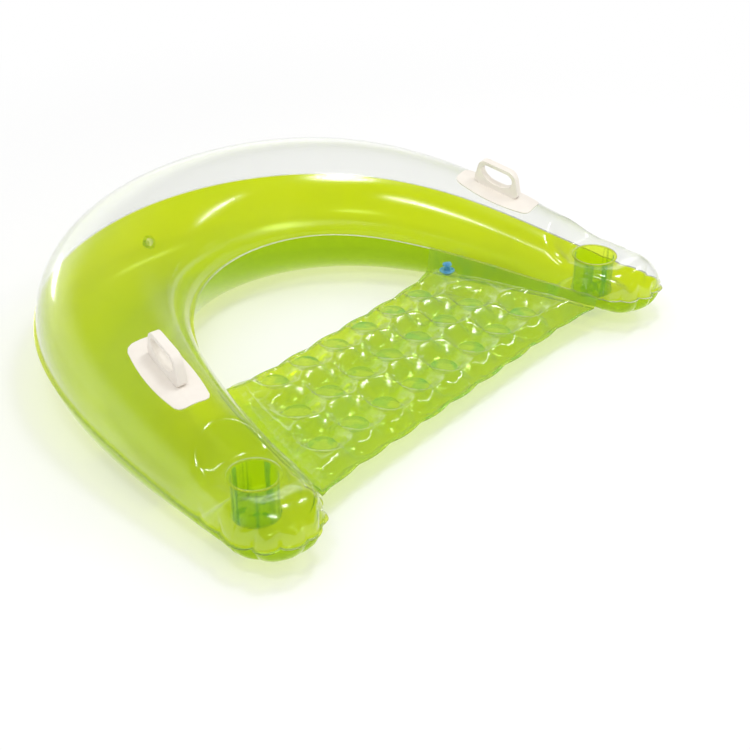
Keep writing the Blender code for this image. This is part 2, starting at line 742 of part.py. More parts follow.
def make_handle(side):
    mirror = 1 if side == "left" else -1
    section = Section(mirror * share_at_line(TIP_LINE + HANDLE_SETBACK))
    run = section.run if section.run.y < 0 else -section.run
    middle = section.centre
    lift = SHEET + HANDLE_SEAT_GAP

    def surface(along, across):
        plan = middle + run * along + section.inward * across
        return Vector((plan.x, plan.y, top_height(plan.x, plan.y) + lift))

    half = HANDLE_PLATE_LENGTH / 2
    corner = HANDLE_PLATE_CORNER
    ends = [half, half - 0.3 * corner, half - corner]
    inner_rows = 8
    stations = ends + [(half - corner) * (1 - 2 * i / inner_rows) for i in range(1, inner_rows)]
    stations += [-d for d in reversed(ends)]
    bm = bmesh.new()
    rows = []
    for along in stations:
        width = HANDLE_PLATE_END / 2 + HANDLE_PLATE_BULGE * (1 - (along / half) ** 2)
        left = half - abs(along)
        if left < corner:
            width += math.sqrt(max(0.0, corner ** 2 - (corner - left) ** 2)) - corner
        rows.append([bm.verts.new(surface(along, width * (2 * i / 6 - 1))) for i in range(7)])
    for row_a, row_b in zip(rows, rows[1:]):
        for i in range(6):
            bm.faces.new((row_a[i], row_a[i + 1], row_b[i + 1], row_b[i]))
    face_towards(bm, Vector((0, 0, 1)))
    thicken(bm, HANDLE_PLATE)
    plate = add_object("grab_handle_" + side, bm, CREAM, 0.45, 35)

    outer = rounded_outline(GRIP_LENGTH, 0.0, GRIP_HEIGHT, GRIP_CORNER)
    hole_top = GRIP_HEIGHT - GRIP_BAR
    hole = finger_hole(GRIP_LENGTH - 2 * GRIP_BAR, GRIP_FOOT, hole_top, GRIP_CORNER - GRIP_BAR / 2)
    grip = bmesh.new()
    skins = []
    for across in (-GRIP_DEPTH / 2, GRIP_DEPTH / 2):
        loops = []
        for loop in (outer, hole):
            ring = []
            for u, height in loop:
                along = u * (1 + GRIP_FLARE * (1 - height / GRIP_HEIGHT))
                foot = surface(along, 0.0)
                place = foot + section.inward * across
                place.z = foot.z + HANDLE_PLATE * 0.5 + height
                ring.append(grip.verts.new(place))
            loops.append(ring)
        skins.append(loops)
    count = len(outer)
    for i in range(count):
        j = (i + 1) % count
        for loops in skins:
            grip.faces.new((loops[0][i], loops[0][j], loops[1][j], loops[1][i]))
        for ring in (0, 1):
            grip.faces.new((skins[0][ring][i], skins[0][ring][j], skins[1][ring][j], skins[1][ring][i]))
    bmesh.ops.recalc_face_normals(grip, faces=grip.faces)
    add_union("grip_guide_" + side, plate, grip)
    return plate


# Valves

STEM_TRAVEL = STEM_HEIGHT - STEM_HEAD - VALVE_COLLAR - GAP
HINGE_HEIGHT = STEM_HEIGHT + GAP + STOPPER_CAP / 2
STEM_FOOT = -(VALVE_NECK_DEPTH + GAP + STEM_LIP)
FLAP_HINGE = FLAP_RADIUS + FLAP_TAB
FLAP_HEIGHT = STEM_FOOT - GAP - FLAP / 2


def plug_profile():
    # The plug narrows downward, so that its far side clears the bore as it swings out on its hinge.
    reach = HINGE_OFFSET + STEM_BORE - GAP
    rim = HINGE_HEIGHT - STEM_HEIGHT
    points = []
    for step in range(4):
        depth = STOPPER_CAP / 2 + STOPPER_DEPTH * step / 3
        radius = math.sqrt(reach ** 2 + rim ** 2 - depth ** 2) - HINGE_OFFSET
        points.append((min(radius, STEM_BORE - GAP), -depth))
    return points


def make_valve(prefix, place, color):
    # place maps the valve's own frame, with +Z out of the sheet, to the chair.
    base = bpy.data.objects.new(prefix + "_valve_seat", None)
    bpy.context.scene.collection.objects.link(base)
    base.matrix_world = place
    base["stem_travel"] = STEM_TRAVEL

    neck_bore = STEM_RADIUS + STEM_RUN
    edge = VALVE_FLANGE / 2
    flange = revolve([(neck_bore, -VALVE_NECK_DEPTH), (VALVE_NECK_RADIUS, -VALVE_NECK_DEPTH),
                      (VALVE_NECK_RADIUS, 0), (VALVE_FLANGE_RADIUS, 0),
                      (VALVE_FLANGE_RADIUS, edge), (VALVE_FLANGE_RADIUS - edge, VALVE_FLANGE),
                      (VALVE_NECK_RADIUS, VALVE_FLANGE), (VALVE_NECK_RADIUS - GAP, VALVE_COLLAR),
                      (neck_bore, VALVE_COLLAR)], CIRCLE_STEPS)
    add_object(prefix + "_valve_flange", flange, color, 0.2).parent = base

    under_lip = STEM_FOOT + STEM_LIP
    under_head = STEM_HEIGHT - STEM_HEAD
    stem = revolve([(STEM_BORE, STEM_FOOT), (STEM_LIP_RADIUS, STEM_FOOT), (STEM_LIP_RADIUS, under_lip),
                    (STEM_RADIUS, under_lip), (STEM_RADIUS, under_head), (STEM_HEAD_RADIUS, under_head),
                    (STEM_HEAD_RADIUS, STEM_HEIGHT), (STEM_BORE, STEM_HEIGHT)], SMALL_CIRCLE_STEPS)
    add_object(prefix + "_valve_stem", stem, color, 0.2).parent = base

    half = STOPPER_CAP / 2
    plug = plug_profile()
    cap = [(STOPPER_CAP_RADIUS, -half), (STOPPER_CAP_RADIUS, half), (0, half)]
    shape = revolve([(0, plug[-1][1])] + plug[::-1] + cap, SMALL_CIRCLE_STEPS)
    bmesh.ops.translate(shape, verts=shape.verts, vec=(HINGE_OFFSET, 0, 0))
    stopper = add_object(prefix + "_valve_stopper", shape, color, 0.2)
    tab = STOPPER_TAB / 2
    width = STOPPER_TAB_WIDTH / 2
    guide = add_union(prefix + "_tab_guide", stopper,
                      box((0, -width, -tab), (HINGE_OFFSET + STOPPER_PULL, width, tab)))
    for piece in (stopper, guide):
        piece.parent = base
        piece.location = (-HINGE_OFFSET, 0, HINGE_HEIGHT)

    flap = bmesh.new()
    start = math.asin(FLAP_TAB_WIDTH / 2 / FLAP_RADIUS)
    outline = [(0, FLAP_TAB_WIDTH / 2, -FLAP / 2), (0, -FLAP_TAB_WIDTH / 2, -FLAP / 2)]
    for step in range(SMALL_CIRCLE_STEPS + 1):
        turn = -math.pi + start + (2 * math.pi - 2 * start) * step / SMALL_CIRCLE_STEPS
        outline.append((FLAP_HINGE + FLAP_RADIUS * math.cos(turn), FLAP_RADIUS * math.sin(turn), -FLAP / 2))
    face = flap.faces.new([flap.verts.new(point) for point in outline])
    lifted = bmesh.ops.extrude_face_region(flap, geom=[face])
    raised = [item for item in lifted["geom"] if isinstance(item, bmesh.types.BMVert)]
    bmesh.ops.translate(flap, verts=raised, vec=(0, 0, FLAP))
    bmesh.ops.recalc_face_normals(flap, faces=flap.faces)
    flap_object = add_object(prefix + "_valve_flap", flap, color, 0.2)
    flap_object.parent = base
    flap_object.location = (-FLAP_HINGE, 0, FLAP_HEIGHT)


def frame_of(origin, axis_x, axis_z):
    axis_y = axis_z.cross(axis_x)
    return Matrix(((axis_x.x, axis_y.x, axis_z.x, origin.x), (axis_x.y, axis_y.y, axis_z.y, origin.y),
                   (axis_x.z, axis_y.z, axis_z.z, origin.z), (0, 0, 0, 1)))


make_tube_bottom_panel()
make_tube_top_panel()
for side_name in ("left", "right"):
    make_cup(side_name)
    make_joining_strip(side_name)
    make_handle(side_name)
make_seat_sheet("seat_top_sheet", 1, True, CLEAR)
make_seat_sheet("seat_bottom_sheet", -1, False, GREEN)

seat_valve_base = SEAT_VALVE.copy()
seat_valve_base.z = SEAT_HEIGHT + GAP / 2 + puff(SEAT_VALVE) + SHEET + GAP
make_valve("seat", frame_of(seat_valve_base, Vector((1, 0, 0)), Vector((0, 0, 1))), BLUE)
wall_point, wall_run, wall_out = tube_valve_place()
make_valve("tube", frame_of(wall_point + wall_out * (SHEET + GAP), wall_run, wall_out), CLEAR)
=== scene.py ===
import math

import bmesh
import bpy
import numpy as np
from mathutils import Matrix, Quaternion, Vector, geometry


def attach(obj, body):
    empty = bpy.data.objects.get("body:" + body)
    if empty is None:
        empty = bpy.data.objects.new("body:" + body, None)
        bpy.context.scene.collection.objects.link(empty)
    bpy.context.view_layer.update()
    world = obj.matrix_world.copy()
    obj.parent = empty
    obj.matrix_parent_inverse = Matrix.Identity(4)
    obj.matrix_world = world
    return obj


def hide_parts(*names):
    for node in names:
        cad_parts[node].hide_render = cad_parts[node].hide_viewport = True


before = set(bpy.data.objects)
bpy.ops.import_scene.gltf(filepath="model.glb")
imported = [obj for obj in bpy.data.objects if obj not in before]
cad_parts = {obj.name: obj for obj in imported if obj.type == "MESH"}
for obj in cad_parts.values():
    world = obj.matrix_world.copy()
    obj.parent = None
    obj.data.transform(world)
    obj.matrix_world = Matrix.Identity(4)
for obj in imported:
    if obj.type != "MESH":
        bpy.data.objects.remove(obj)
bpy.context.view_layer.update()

# Inflatable pool chair: a clear upper and a green lower vinyl panel, a quilted seat, two cup wells and two handles.
# Metres, +Z up, the open front along -Y, resting on z = 0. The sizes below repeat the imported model's own.


# Shader graphs

class Wire:
    # A shader socket that sums and products can be written with.
    def __init__(self, graph, socket):
        self.graph, self.socket = graph, socket

    def __add__(self, other):
        return self.graph.math("ADD", self, other)

    def __radd__(self, other):
        return self.graph.math("ADD", other, self)

    def __sub__(self, other):
        return self.graph.math("SUBTRACT", self, other)

    def __rsub__(self, other):
        return self.graph.math("SUBTRACT", other, self)

    def __mul__(self, other):
        return self.graph.math("MULTIPLY", self, other)

    def __rmul__(self, other):
        return self.graph.math("MULTIPLY", other, self)

    def __pow__(self, other):
        return self.graph.math("POWER", self, other)


class Graph:
    # The node tree of one material or world.
    def __init__(self, owner):
        owner.use_nodes = True
        self.owner, self.tree = owner, owner.node_tree
        self.tree.nodes.clear()

    def node(self, kind, settings=None, inputs=None, output=0):
        made = self.tree.nodes.new(kind)
        for name, value in (settings or {}).items():
            if name == "stops":
                ramp = made.color_ramp
                while len(ramp.elements) < len(value):
                    ramp.elements.new(0.5)
                for element, (place, color) in zip(ramp.elements, value):
                    element.position, element.color = place, color
            else:
                setattr(made, name, value)
        for name, value in (inputs or {}).items():
            if isinstance(value, Wire):
                self.tree.links.new(value.socket, made.inputs[name])
            else:
                made.inputs[name].default_value = value
        return Wire(self, made.outputs[output])

    def math(self, operation, first, second, clamp=False):
        return self.node("ShaderNodeMath", {"operation": operation, "use_clamp": clamp}, {0: first, 1: second})

    def mixColor(self, factor, first, second):
        return self.node("ShaderNodeMix", {"data_type": "RGBA"}, {0: factor, 6: first, 7: second}, output=2)

    def span(self, value, low, high, start=0.0, end=1.0):
        return self.node("ShaderNodeMapRange", {"interpolation_type": "SMOOTHSTEP"},
                         {0: value, 1: low, 2: high, 3: start, 4: end})

    def noise(self, place, scale, detail=2.0, stretch=None):
        if stretch:
            place = self.node("ShaderNodeMapping", None, {"Vector": place, "Scale": stretch})
        return self.node("ShaderNodeTexNoise", None, {"Vector": place, "Scale": scale, "Detail": detail})

    def path(self, question):
        return self.node("ShaderNodeLightPath", output=question)

    def bump(self, height, strength, distance):
        return self.node("ShaderNodeBump", None, {"Height": height, "Strength": strength, "Distance": distance})

    def finish(self, surface, kind="ShaderNodeOutputMaterial"):
        made = self.tree.nodes.new(kind)
        self.tree.links.new(surface.socket, made.inputs["Surface"])
        return self.owner


def newGraph(name):
    return Graph(bpy.data.materials.new(name))


def shade(color):
    return (*color, 1.0)


# Vinyl film: mostly see-through, with a tint, a sheen that grows towards grazing angles, and a little haze

white = (1.0, 1.0, 1.0, 1.0)
mottle = (0.3, 0.7)  # the noise values between which a finish goes from one state to the other
film = {"mirrorPower": 5.0, "hazePower": 3.0, "grain": (0.35, 0.65), "edge": (0.35, 0.85), "crease": (0.50, 0.62),
        "upright": (1.0, 1.0, 0.06), "level": (1.0, 1.0, 3.0), "relief": (0.7, 0.25, 0.05), "depth": 0.001,
        "smoother": 0.8, "rougher": 1.25}


def filmMaterial(name, look):
    g = newGraph(name)
    place = g.node("ShaderNodeTexCoord", output=3)
    broad = g.noise(place, look["cloudScale"], 3.0)
    fine = g.noise(place, look["grainScale"], 4.0)
    streak = g.noise(place, look["streakScale"], 2.0, stretch=film["level"])
    facing = g.node("ShaderNodeLayerWeight", None, {"Blend": 0.5}, output=1)
    sheen = look["sheenNormal"] + (1.0 - look["sheenNormal"]) * facing ** film["mirrorPower"]
    haze = look["haze"] * g.span(broad, *mottle, 1.0 - look["cloud"], 1.0 + look["cloud"])
    body = haze + look["edgeHaze"] * facing ** film["hazePower"]
    tone = g.mixColor(g.span(fine, *film["grain"]), shade(look["bodyColor"]), shade(look["bodyShade"]))
    # Towards grazing angles the body colour turns to a paler colour: a painted sheen that stands in for the
    # reflection of bright surroundings.
    tone = g.mixColor(g.span(facing, *film["edge"]), tone, shade(look["paintedSheenColor"]))
    # Streaks of a second colour along stretched noise: on the cup sleeves a painted dark shade of folds, on the
    # seat's green film painted bluish-green reflection lines.
    if "creaseShadeAndSheen" in look:
        crease = g.noise(place, look["creaseScale"], 3.0, stretch=film["upright"])
        crease = g.span(crease, *film["crease"])
        body = body + look["creaseShadeAndSheenCover"] * crease
        tone = g.mixColor(crease, tone, shade(look["creaseShadeAndSheen"]))
    cover = g.math("ADD", sheen, body, clamp=True)
    mirror = g.math("DIVIDE", sheen, cover + 0.0001, clamp=True)
    height = film["relief"][0] * broad + film["relief"][1] * streak + film["relief"][2] * fine
    smoothest, roughest = look["roughness"] * film["smoother"], look["roughness"] * film["rougher"]
    coat = g.node("ShaderNodeBsdfPrincipled", None, {
        "Base Color": g.mixColor(mirror, tone, white),
        "Metallic": mirror,
        "Roughness": g.span(streak, *mottle, smoothest, roughest),
        "Normal": g.bump(height, look["wave"], film["depth"])})
    clear = g.node("ShaderNodeBsdfTransparent", None, {"Color": shade(look["tint"])})
    return g.finish(g.node("ShaderNodeMixShader", None, {0: cover, 1: clear, 2: coat}))


# Each film is modelled with two skins, so a ray passes its tint twice
# Each look's colour for grazing angles is a painted sheen, not the film's own colour.
greenLook = {"tint": (0.832, 0.904, 0.03), "bodyColor": (0.40, 0.64, 0.01), "bodyShade": (0.34, 0.58, 0.01),
             "paintedSheenColor": (0.50, 0.76, 0.04), "haze": 0.06, "edgeHaze": 0.18, "sheenNormal": 0.016,
             "roughness": 0.16, "cloud": 0.35, "cloudScale": 5.0, "grainScale": 90.0, "streakScale": 14.0,
             "wave": 0.12}
clearLook = {"tint": (0.990, 0.990, 0.992), "bodyColor": (0.86, 0.88, 0.89), "bodyShade": (0.80, 0.82, 0.84),
             "paintedSheenColor": (0.95, 0.96, 0.97), "haze": 0.006, "edgeHaze": 0.05, "sheenNormal": 0.030,
             "roughness": 0.14, "cloud": 0.4, "cloudScale": 4.0, "grainScale": 90.0, "streakScale": 12.0,
             "wave": 0.12}
seatClearLook = dict(clearLook, sheenNormal=0.045, haze=0.010, roughness=0.16, wave=0.25)
# The seat's bluish-green crease streaks are painted reflection lines; the welds and strips take them over.
seatGreenLook = dict(greenLook, tint=(0.842, 0.936, 0.17), bodyColor=(0.38, 0.70, 0.08), bodyShade=(0.28, 0.64, 0.10),
                     paintedSheenColor=(0.46, 0.78, 0.14), edgeHaze=0.10, sheenNormal=0.03, roughness=0.10, wave=0.25,
                     creaseShadeAndSheen=(0.30, 0.70, 0.20), creaseScale=26.0, creaseShadeAndSheenCover=0.05)
seamClearLook = dict(clearLook, tint=(0.98, 0.985, 0.96), bodyColor=(0.90, 0.94, 0.78), bodyShade=(0.86, 0.91, 0.72),
                     haze=0.04, edgeHaze=0.05, sheenNormal=0.010)
seamGreenLook = dict(greenLook, tint=(0.93, 0.965, 0.24), bodyColor=(0.58, 0.80, 0.08), bodyShade=(0.52, 0.75, 0.06),
                     paintedSheenColor=(0.66, 0.85, 0.14), haze=0.12, sheenNormal=0.010)
weldLook = dict(seatGreenLook, tint=(0.93, 0.965, 0.42), bodyColor=(0.58, 0.80, 0.20), bodyShade=(0.52, 0.76, 0.16),
                haze=0.17, sheenNormal=0.02)
stripLook = dict(weldLook, tint=(0.92, 0.962, 0.34), haze=0.10, sheenNormal=0.015, wave=0.15)
# The cup's dark green crease streaks are painted shade of the sleeve's folds.
cupLook = dict(greenLook, tint=(0.90, 0.96, 0.25), bodyColor=(0.40, 0.70, 0.03), bodyShade=(0.32, 0.64, 0.04),
               paintedSheenColor=(0.62, 0.82, 0.08), haze=0.05, creaseShadeAndSheen=(0.10, 0.50, 0.14), creaseScale=46.0,
               creaseShadeAndSheenCover=0.30, roughness=0.09)


# Moulded soft plastic of the handles: cream, softly clouded, with a fine matt grain

def handleMaterial():
    look = {"color": (0.90, 0.85, 0.77), "shadow": (0.86, 0.80, 0.72), "roughness": (0.36, 0.50), "ior": 1.46,
            "cloudScale": 22.0, "grainScale": 900.0, "grain": 0.10, "grainDepth": 0.0004}
    g = newGraph("handlePlastic")
    place = g.node("ShaderNodeTexCoord", output=3)
    cloud = g.noise(place, look["cloudScale"], 3.0)
    grain = g.noise(place, look["grainScale"], 2.0)
    tone = g.mixColor(g.span(cloud, *mottle), shade(look["color"]), shade(look["shadow"]))
    surface = g.node("ShaderNodeBsdfPrincipled", None, {
        "Base Color": tone, "IOR": look["ior"],
        "Roughness": g.span(cloud, *mottle, *look["roughness"]),
        "Normal": g.bump(grain, look["grain"], look["grainDepth"])})
    return g.finish(surface)


# Translucent plastic of the valves

valvePlastic = {"cloudScale": 160.0, "tone": (0.35, 0.65), "roughness": (0.16, 0.26), "ior": 1.5, "grain": 0.08,
                "grainDepth": 0.0004, "edgeShare": 0.5, "edgePower": 2.0}


def valveMaterial(name, look):
    g = newGraph(name)
    place = g.node("ShaderNodeTexCoord", output=3)
    cloud = g.noise(place, valvePlastic["cloudScale"], 3.0)
    facing = g.node("ShaderNodeLayerWeight", None, {"Blend": 0.5}, output=1)
    tone = g.mixColor(g.span(cloud, *valvePlastic["tone"]), shade(look["color"]), shade(look["rim"]))
    coat = g.node("ShaderNodeBsdfPrincipled", None, {
        "Base Color": tone, "IOR": valvePlastic["ior"],
        "Roughness": g.span(cloud, *mottle, *valvePlastic["roughness"]),
        "Normal": g.bump(cloud, valvePlastic["grain"], valvePlastic["grainDepth"])})
    clear = g.node("ShaderNodeBsdfTransparent", None, {"Color": shade(look["tint"])})
    more = look["cover"] * valvePlastic["edgeShare"] * facing ** valvePlastic["edgePower"]
    cover = g.math("ADD", look["cover"], more, clamp=True)
    return g.finish(g.node("ShaderNodeMixShader", None, {0: cover, 1: clear, 2: coat}))


blueLook = {"color": (0.12, 0.44, 0.80), "rim": (0.30, 0.64, 0.92), "tint": (0.62, 0.86, 0.93), "cover": 0.36}
paleLook = {"color": (0.78, 0.84, 0.62), "rim": (0.86, 0.90, 0.74), "tint": (0.955, 0.978, 0.66), "cover": 0.15}

materials = {
    "green": filmMaterial("greenVinyl", greenLook),
    "clear": filmMaterial("clearVinyl", clearLook),
    "seatClear": filmMaterial("seatClearVinyl", seatClearLook),
    "seatGreen": filmMaterial("seatGreenVinyl", seatGreenLook),
    "weld": filmMaterial("weldedVinyl", weldLook),
    "strip": filmMaterial("stripVinyl", stripLook),
    "seamClear": filmMaterial("clearSeamVinyl", seamClearLook),
    "seamGreen": filmMaterial("greenSeamVinyl", seamGreenLook),
    "cup": filmMaterial("cupVinyl", cupLook),
    "handle": handleMaterial(),
    "valve": valveMaterial("blueValvePlastic", blueLook),
    "clearValve": valveMaterial("clearValvePlastic", paleLook),
}
print("materials made")


# Mesh helpers

def meshPiece(name, points, faces, material, angle=50):
    mesh = bpy.data.meshes.new(name)
    mesh.from_pydata([tuple(p) for p in points], [], [tuple(f) for f in faces])
    mesh.validate()
    mesh.shade_smooth()
    mesh.set_sharp_from_angle(angle=math.radians(angle))
    piece = bpy.data.objects.new(name, mesh)
    bpy.context.scene.collection.objects.link(piece)
    piece.data.materials.append(materials[material])
    return piece


def applyModifiers(piece):
    graph = bpy.context.evaluated_depsgraph_get()
    mesh = bpy.data.meshes.new_from_object(piece.evaluated_get(graph))
    piece.modifiers.clear()
    piece.data = mesh
    return piece


def thicken(piece, thickness):
    # Gives an open sheet its second skin, on the side that its faces look to.
    solid = piece.modifiers.new("sheet", "SOLIDIFY")
    solid.thickness, solid.offset = thickness, 1.0
    solid.use_even_offset = True
    return applyModifiers(piece)


def dress(piece, body, slot, *nodes):
    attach(piece, body)
    if nodes:
        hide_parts(*nodes)
    return piece


def smoothstep(t):
    t = np.clip(t, 0.0, 1.0)
    return t * t * (3.0 - 2.0 * t)


def orient(piece, direction):
    # Turns an open sheet so that most of it looks along a direction.
    bm = bmesh.new()
    bm.from_mesh(piece.data)
    bmesh.ops.recalc_face_normals(bm, faces=bm.faces)
    total = sum((f.normal * f.calc_area() for f in bm.faces), Vector())
    if total.dot(Vector(direction)) < 0:
        bmesh.ops.reverse_faces(bm, faces=bm.faces)
    bm.to_mesh(piece.data)
    bm.free()
    return piece


# The tube's line, from the middle of the back (share 0) to the arm tips (share -1 and 1)

tube = {"width": 1.20, "length": 1.00, "backRadius": 0.156, "tipRadius": 0.086, "heightRatio": 0.92,
        "splay": 0.106, "press": 0.04, "tipRise": 0.064, "riseFalloff": 1.9, "tipLift": 0.024, "liftStart": 0.6,
        "sheet": 0.00045, "gap": 0.0003, "flange": 0.006, "drop": 0.010, "dropStart": 0.25,
        "stations": 300, "crowding": 0.82, "sideSteps": 28, "tipSteps": 132, "lineSteps": 2000}


def lineTable():
    count = tube["lineSteps"]
    backLine = tube["length"] / 2 - tube["flange"] - tube["backRadius"]
    tipLine = -(tube["length"] / 2 - tube["flange"] - tube["tipRadius"])
    reach = tube["width"] / 2 - tube["flange"] - tube["tipRadius"] - tube["splay"]
    v = (np.arange(count + 1) / count) ** 2
    x = reach * np.sqrt(1 - (1 - v) ** 4) + tube["splay"] * v
    y = backLine + (tipLine - backLine) * v
    taper = 1 - (v + 3 * v ** 2 - 2 * v ** 3) / 2
    radius = tube["tipRadius"] + (tube["backRadius"] - tube["tipRadius"]) * taper
    along = np.concatenate([[0.0], np.cumsum(np.hypot(np.diff(x), np.diff(y)))])
    slopeX, slopeY = np.gradient(x, along), np.gradient(y, along)
    slopeX[0], slopeY[0] = 1.0, 0.0
    return {"along": along, "v": v, "x": x, "y": y, "radius": radius, "slopeX": slopeX, "slopeY": slopeY,
            "tipLine": tipLine}


line = lineTable()
halfLength = line["along"][-1]


def sections(shares):
    # The tube's cuts at an array of shares: plan centre, run, inward, radius, seam height, rise and fall from it.
    shares = np.atleast_1d(np.asarray(shares, float))
    side = np.where(shares < 0, -1.0, 1.0)
    read = {k: np.interp(np.abs(shares) * halfLength, line["along"], line[k])
            for k in ("v", "x", "y", "radius", "slopeX", "slopeY")}
    run = np.stack([read["slopeX"], side * read["slopeY"]], -1)
    run /= np.linalg.norm(run, axis=1, keepdims=True)
    halfHeight = read["radius"] * tube["heightRatio"]
    full = tube["backRadius"] * tube["heightRatio"]
    rise = tube["tipRise"] + (full - tube["tipRise"]) * (1 - read["v"] ** tube["riseFalloff"])
    lift = tube["tipLift"] * smoothstep((read["v"] - tube["liftStart"]) / (1 - tube["liftStart"]))
    return {"centre": np.stack([side * read["x"], read["y"]], -1), "run": run,
            "inward": np.stack([run[:, 1], -run[:, 0]], -1), "radius": read["radius"], "rise": rise,
            "fall": halfHeight - lift, "seam": halfHeight * (1 - tube["press"]) + tube["sheet"],
            "drop": tube["drop"] * smoothstep((read["v"] - tube["dropStart"]) / (1 - tube["dropStart"]))}


def shareAtLine(y):
    return float(np.interp(-y, -line["y"], line["along"])) / halfLength


def seamPoint(share):
    cut = sections(share)
    return cut["centre"][0] + cut["inward"][0] * cut["radius"][0]


def shareAtSeam(y):
    # The share at which the +X inner seam passes a given y.
    low, high = 0.0, 1.0
    for _ in range(40):  # halvings
        middle = (low + high) / 2
        if seamPoint(middle)[1] > y:
            low = middle
        else:
            high = middle
    return low


cup = {"radius": 0.041, "setback": 0.0568, "inset": 0.0059, "rimHeight": 0.124, "floorHeight": 0.048,
       "wall": 0.0007, "floor": 0.0010, "flange": 0.0055, "dishFlat": 0.012, "dishReach": 0.050,
       "steps": 120, "wallSteps": 12, "pleats": 9, "pleatDepth": 0.0026, "pleatSharpness": 0.6, "pleatBelly": 0.7,
       "pleatSwing": 0.5, "pleatStart": {"left": 0.0, "right": 2.4}, "baseFlange": 0.002,
       "drawFolds": 11, "drawSwing": 0.8, "drawDepth": 0.0011, "fadeIn": 0.5, "cutBack": 0.004, "innerBack": 0.006,
       "lip": 0.001, "lipReach": 0.0006}
cupCut = sections(shareAtLine(line["tipLine"] + cup["setback"]))
cupPlace = cupCut["centre"][0] + cupCut["inward"][0] * cup["inset"]
cupAxes = {"left": cupPlace, "right": cupPlace * (-1, 1)}


# Tube panels

# notches: degrees round each tip, from the outer side over the front to the inner side; bodyNotches: metres behind
# the tip's round end, on the outer (-1) and the inner (1) seam. Slant, strength and reach differ from notch to notch.
pucker = {"notches": (-101, -66, -30, 4, 33, 63, 95), "depth": 0.017, "width": 0.19, "rise": (0.78, 1.0),
          "sharpness": 0.85, "fade": 0.7, "slant": 11.0, "slantPace": 2.1, "strength": (0.75, 0.25),
          "strengthPace": 1.7, "strengthStart": 0.4, "reach": (0.82, 0.18), "reachPace": 2.9,
          "bodyNotches": {-1: (0.034, 0.082), 1: (0.030, 0.066, 0.104)}, "bodyDepth": 0.0075, "bodyWidth": 0.015,
          "bodyReach": (0.5, 0.1), "bodyFade": 0.8, "bodyWeaker": 0.28, "bodyLean": 0.012, "sink": (0.4, 0.6)}


def cusp(away, width):
    # A crease's profile: sharp in the middle and fading to its sides.
    return np.exp(-(np.abs(away) / width) ** pucker["sharpness"])


def capPinch(turn, toSeam, end, up):
    # How far the sheet is drawn in round a tip: full at a notch on the seam, nothing between and higher up.
    total = np.zeros(np.broadcast(turn, toSeam).shape)
    weak, swing = pucker["strength"]
    short, longer = pucker["reach"]
    for i, notch in enumerate(pucker["notches"]):
        slant = math.radians(pucker["slant"] * math.sin(pucker["slantPace"] * i + end)) * toSeam
        strength = weak + swing * math.sin(pucker["strengthPace"] * i + pucker["strengthStart"] + end)
        reach = pucker["rise"][0 if up > 0 else 1] * (short + longer * math.sin(pucker["reachPace"] * i + 2 * end))
        fall = smoothstep(1 - toSeam / reach) ** pucker["fade"]
        total = np.maximum(total, strength * cusp(turn - math.radians(notch) - slant, pucker["width"]) * fall)
    return total


def bodyPinch(away, toSeam, side):
    # The same behind the round ends, by distance from the end, on the outer (-1) or inner (1) side.
    total = np.zeros(np.broadcast(away, toSeam).shape)
    reach, less = pucker["bodyReach"]
    for i, notch in enumerate(pucker["bodyNotches"][side]):
        fall = smoothstep(1 - toSeam / (reach - less * i)) ** pucker["bodyFade"]
        crease = cusp(away - notch - pucker["bodyLean"] * toSeam, pucker["bodyWidth"])
        total = np.maximum(total, (1 - pucker["bodyWeaker"] * i) * crease * fall)
    return total


def dish(points, level, toSeam):
    # Draws a sheet towards a cup's rim or floor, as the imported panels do, with shallow folds that run to the cup.
    height = points[..., 2]
    for axis in cupAxes.values():
        armX, armY = points[..., 0] - axis[0], points[..., 1] - axis[1]
        away = np.hypot(armX, armY)
        t = (away - cup["radius"] - cup["dishFlat"]) / cup["dishReach"]
        fadeIn = smoothstep(toSeam / cup["fadeIn"])
        pull = (1 - smoothstep(t)) * fadeIn
        turn = np.arctan2(armY, armX)
        folds = np.abs(np.sin(cup["drawFolds"] * turn / 2 + cup["drawSwing"] * np.sin(3 * turn + axis[0])))
        ring = np.clip(t, 0, 1) * np.clip(1 - t, 0, 1) * 4
        height = height + (level - height) * pull - cup["drawDepth"] * (1 - folds) ** 2 * ring * fadeIn
    points[..., 2] = height
    return points


def outward(sideways):
    # 0 on the inner side of the tube and over its middle, growing to 1 at the outer seam.
    return np.clip(-sideways, 0, 1) ** 2


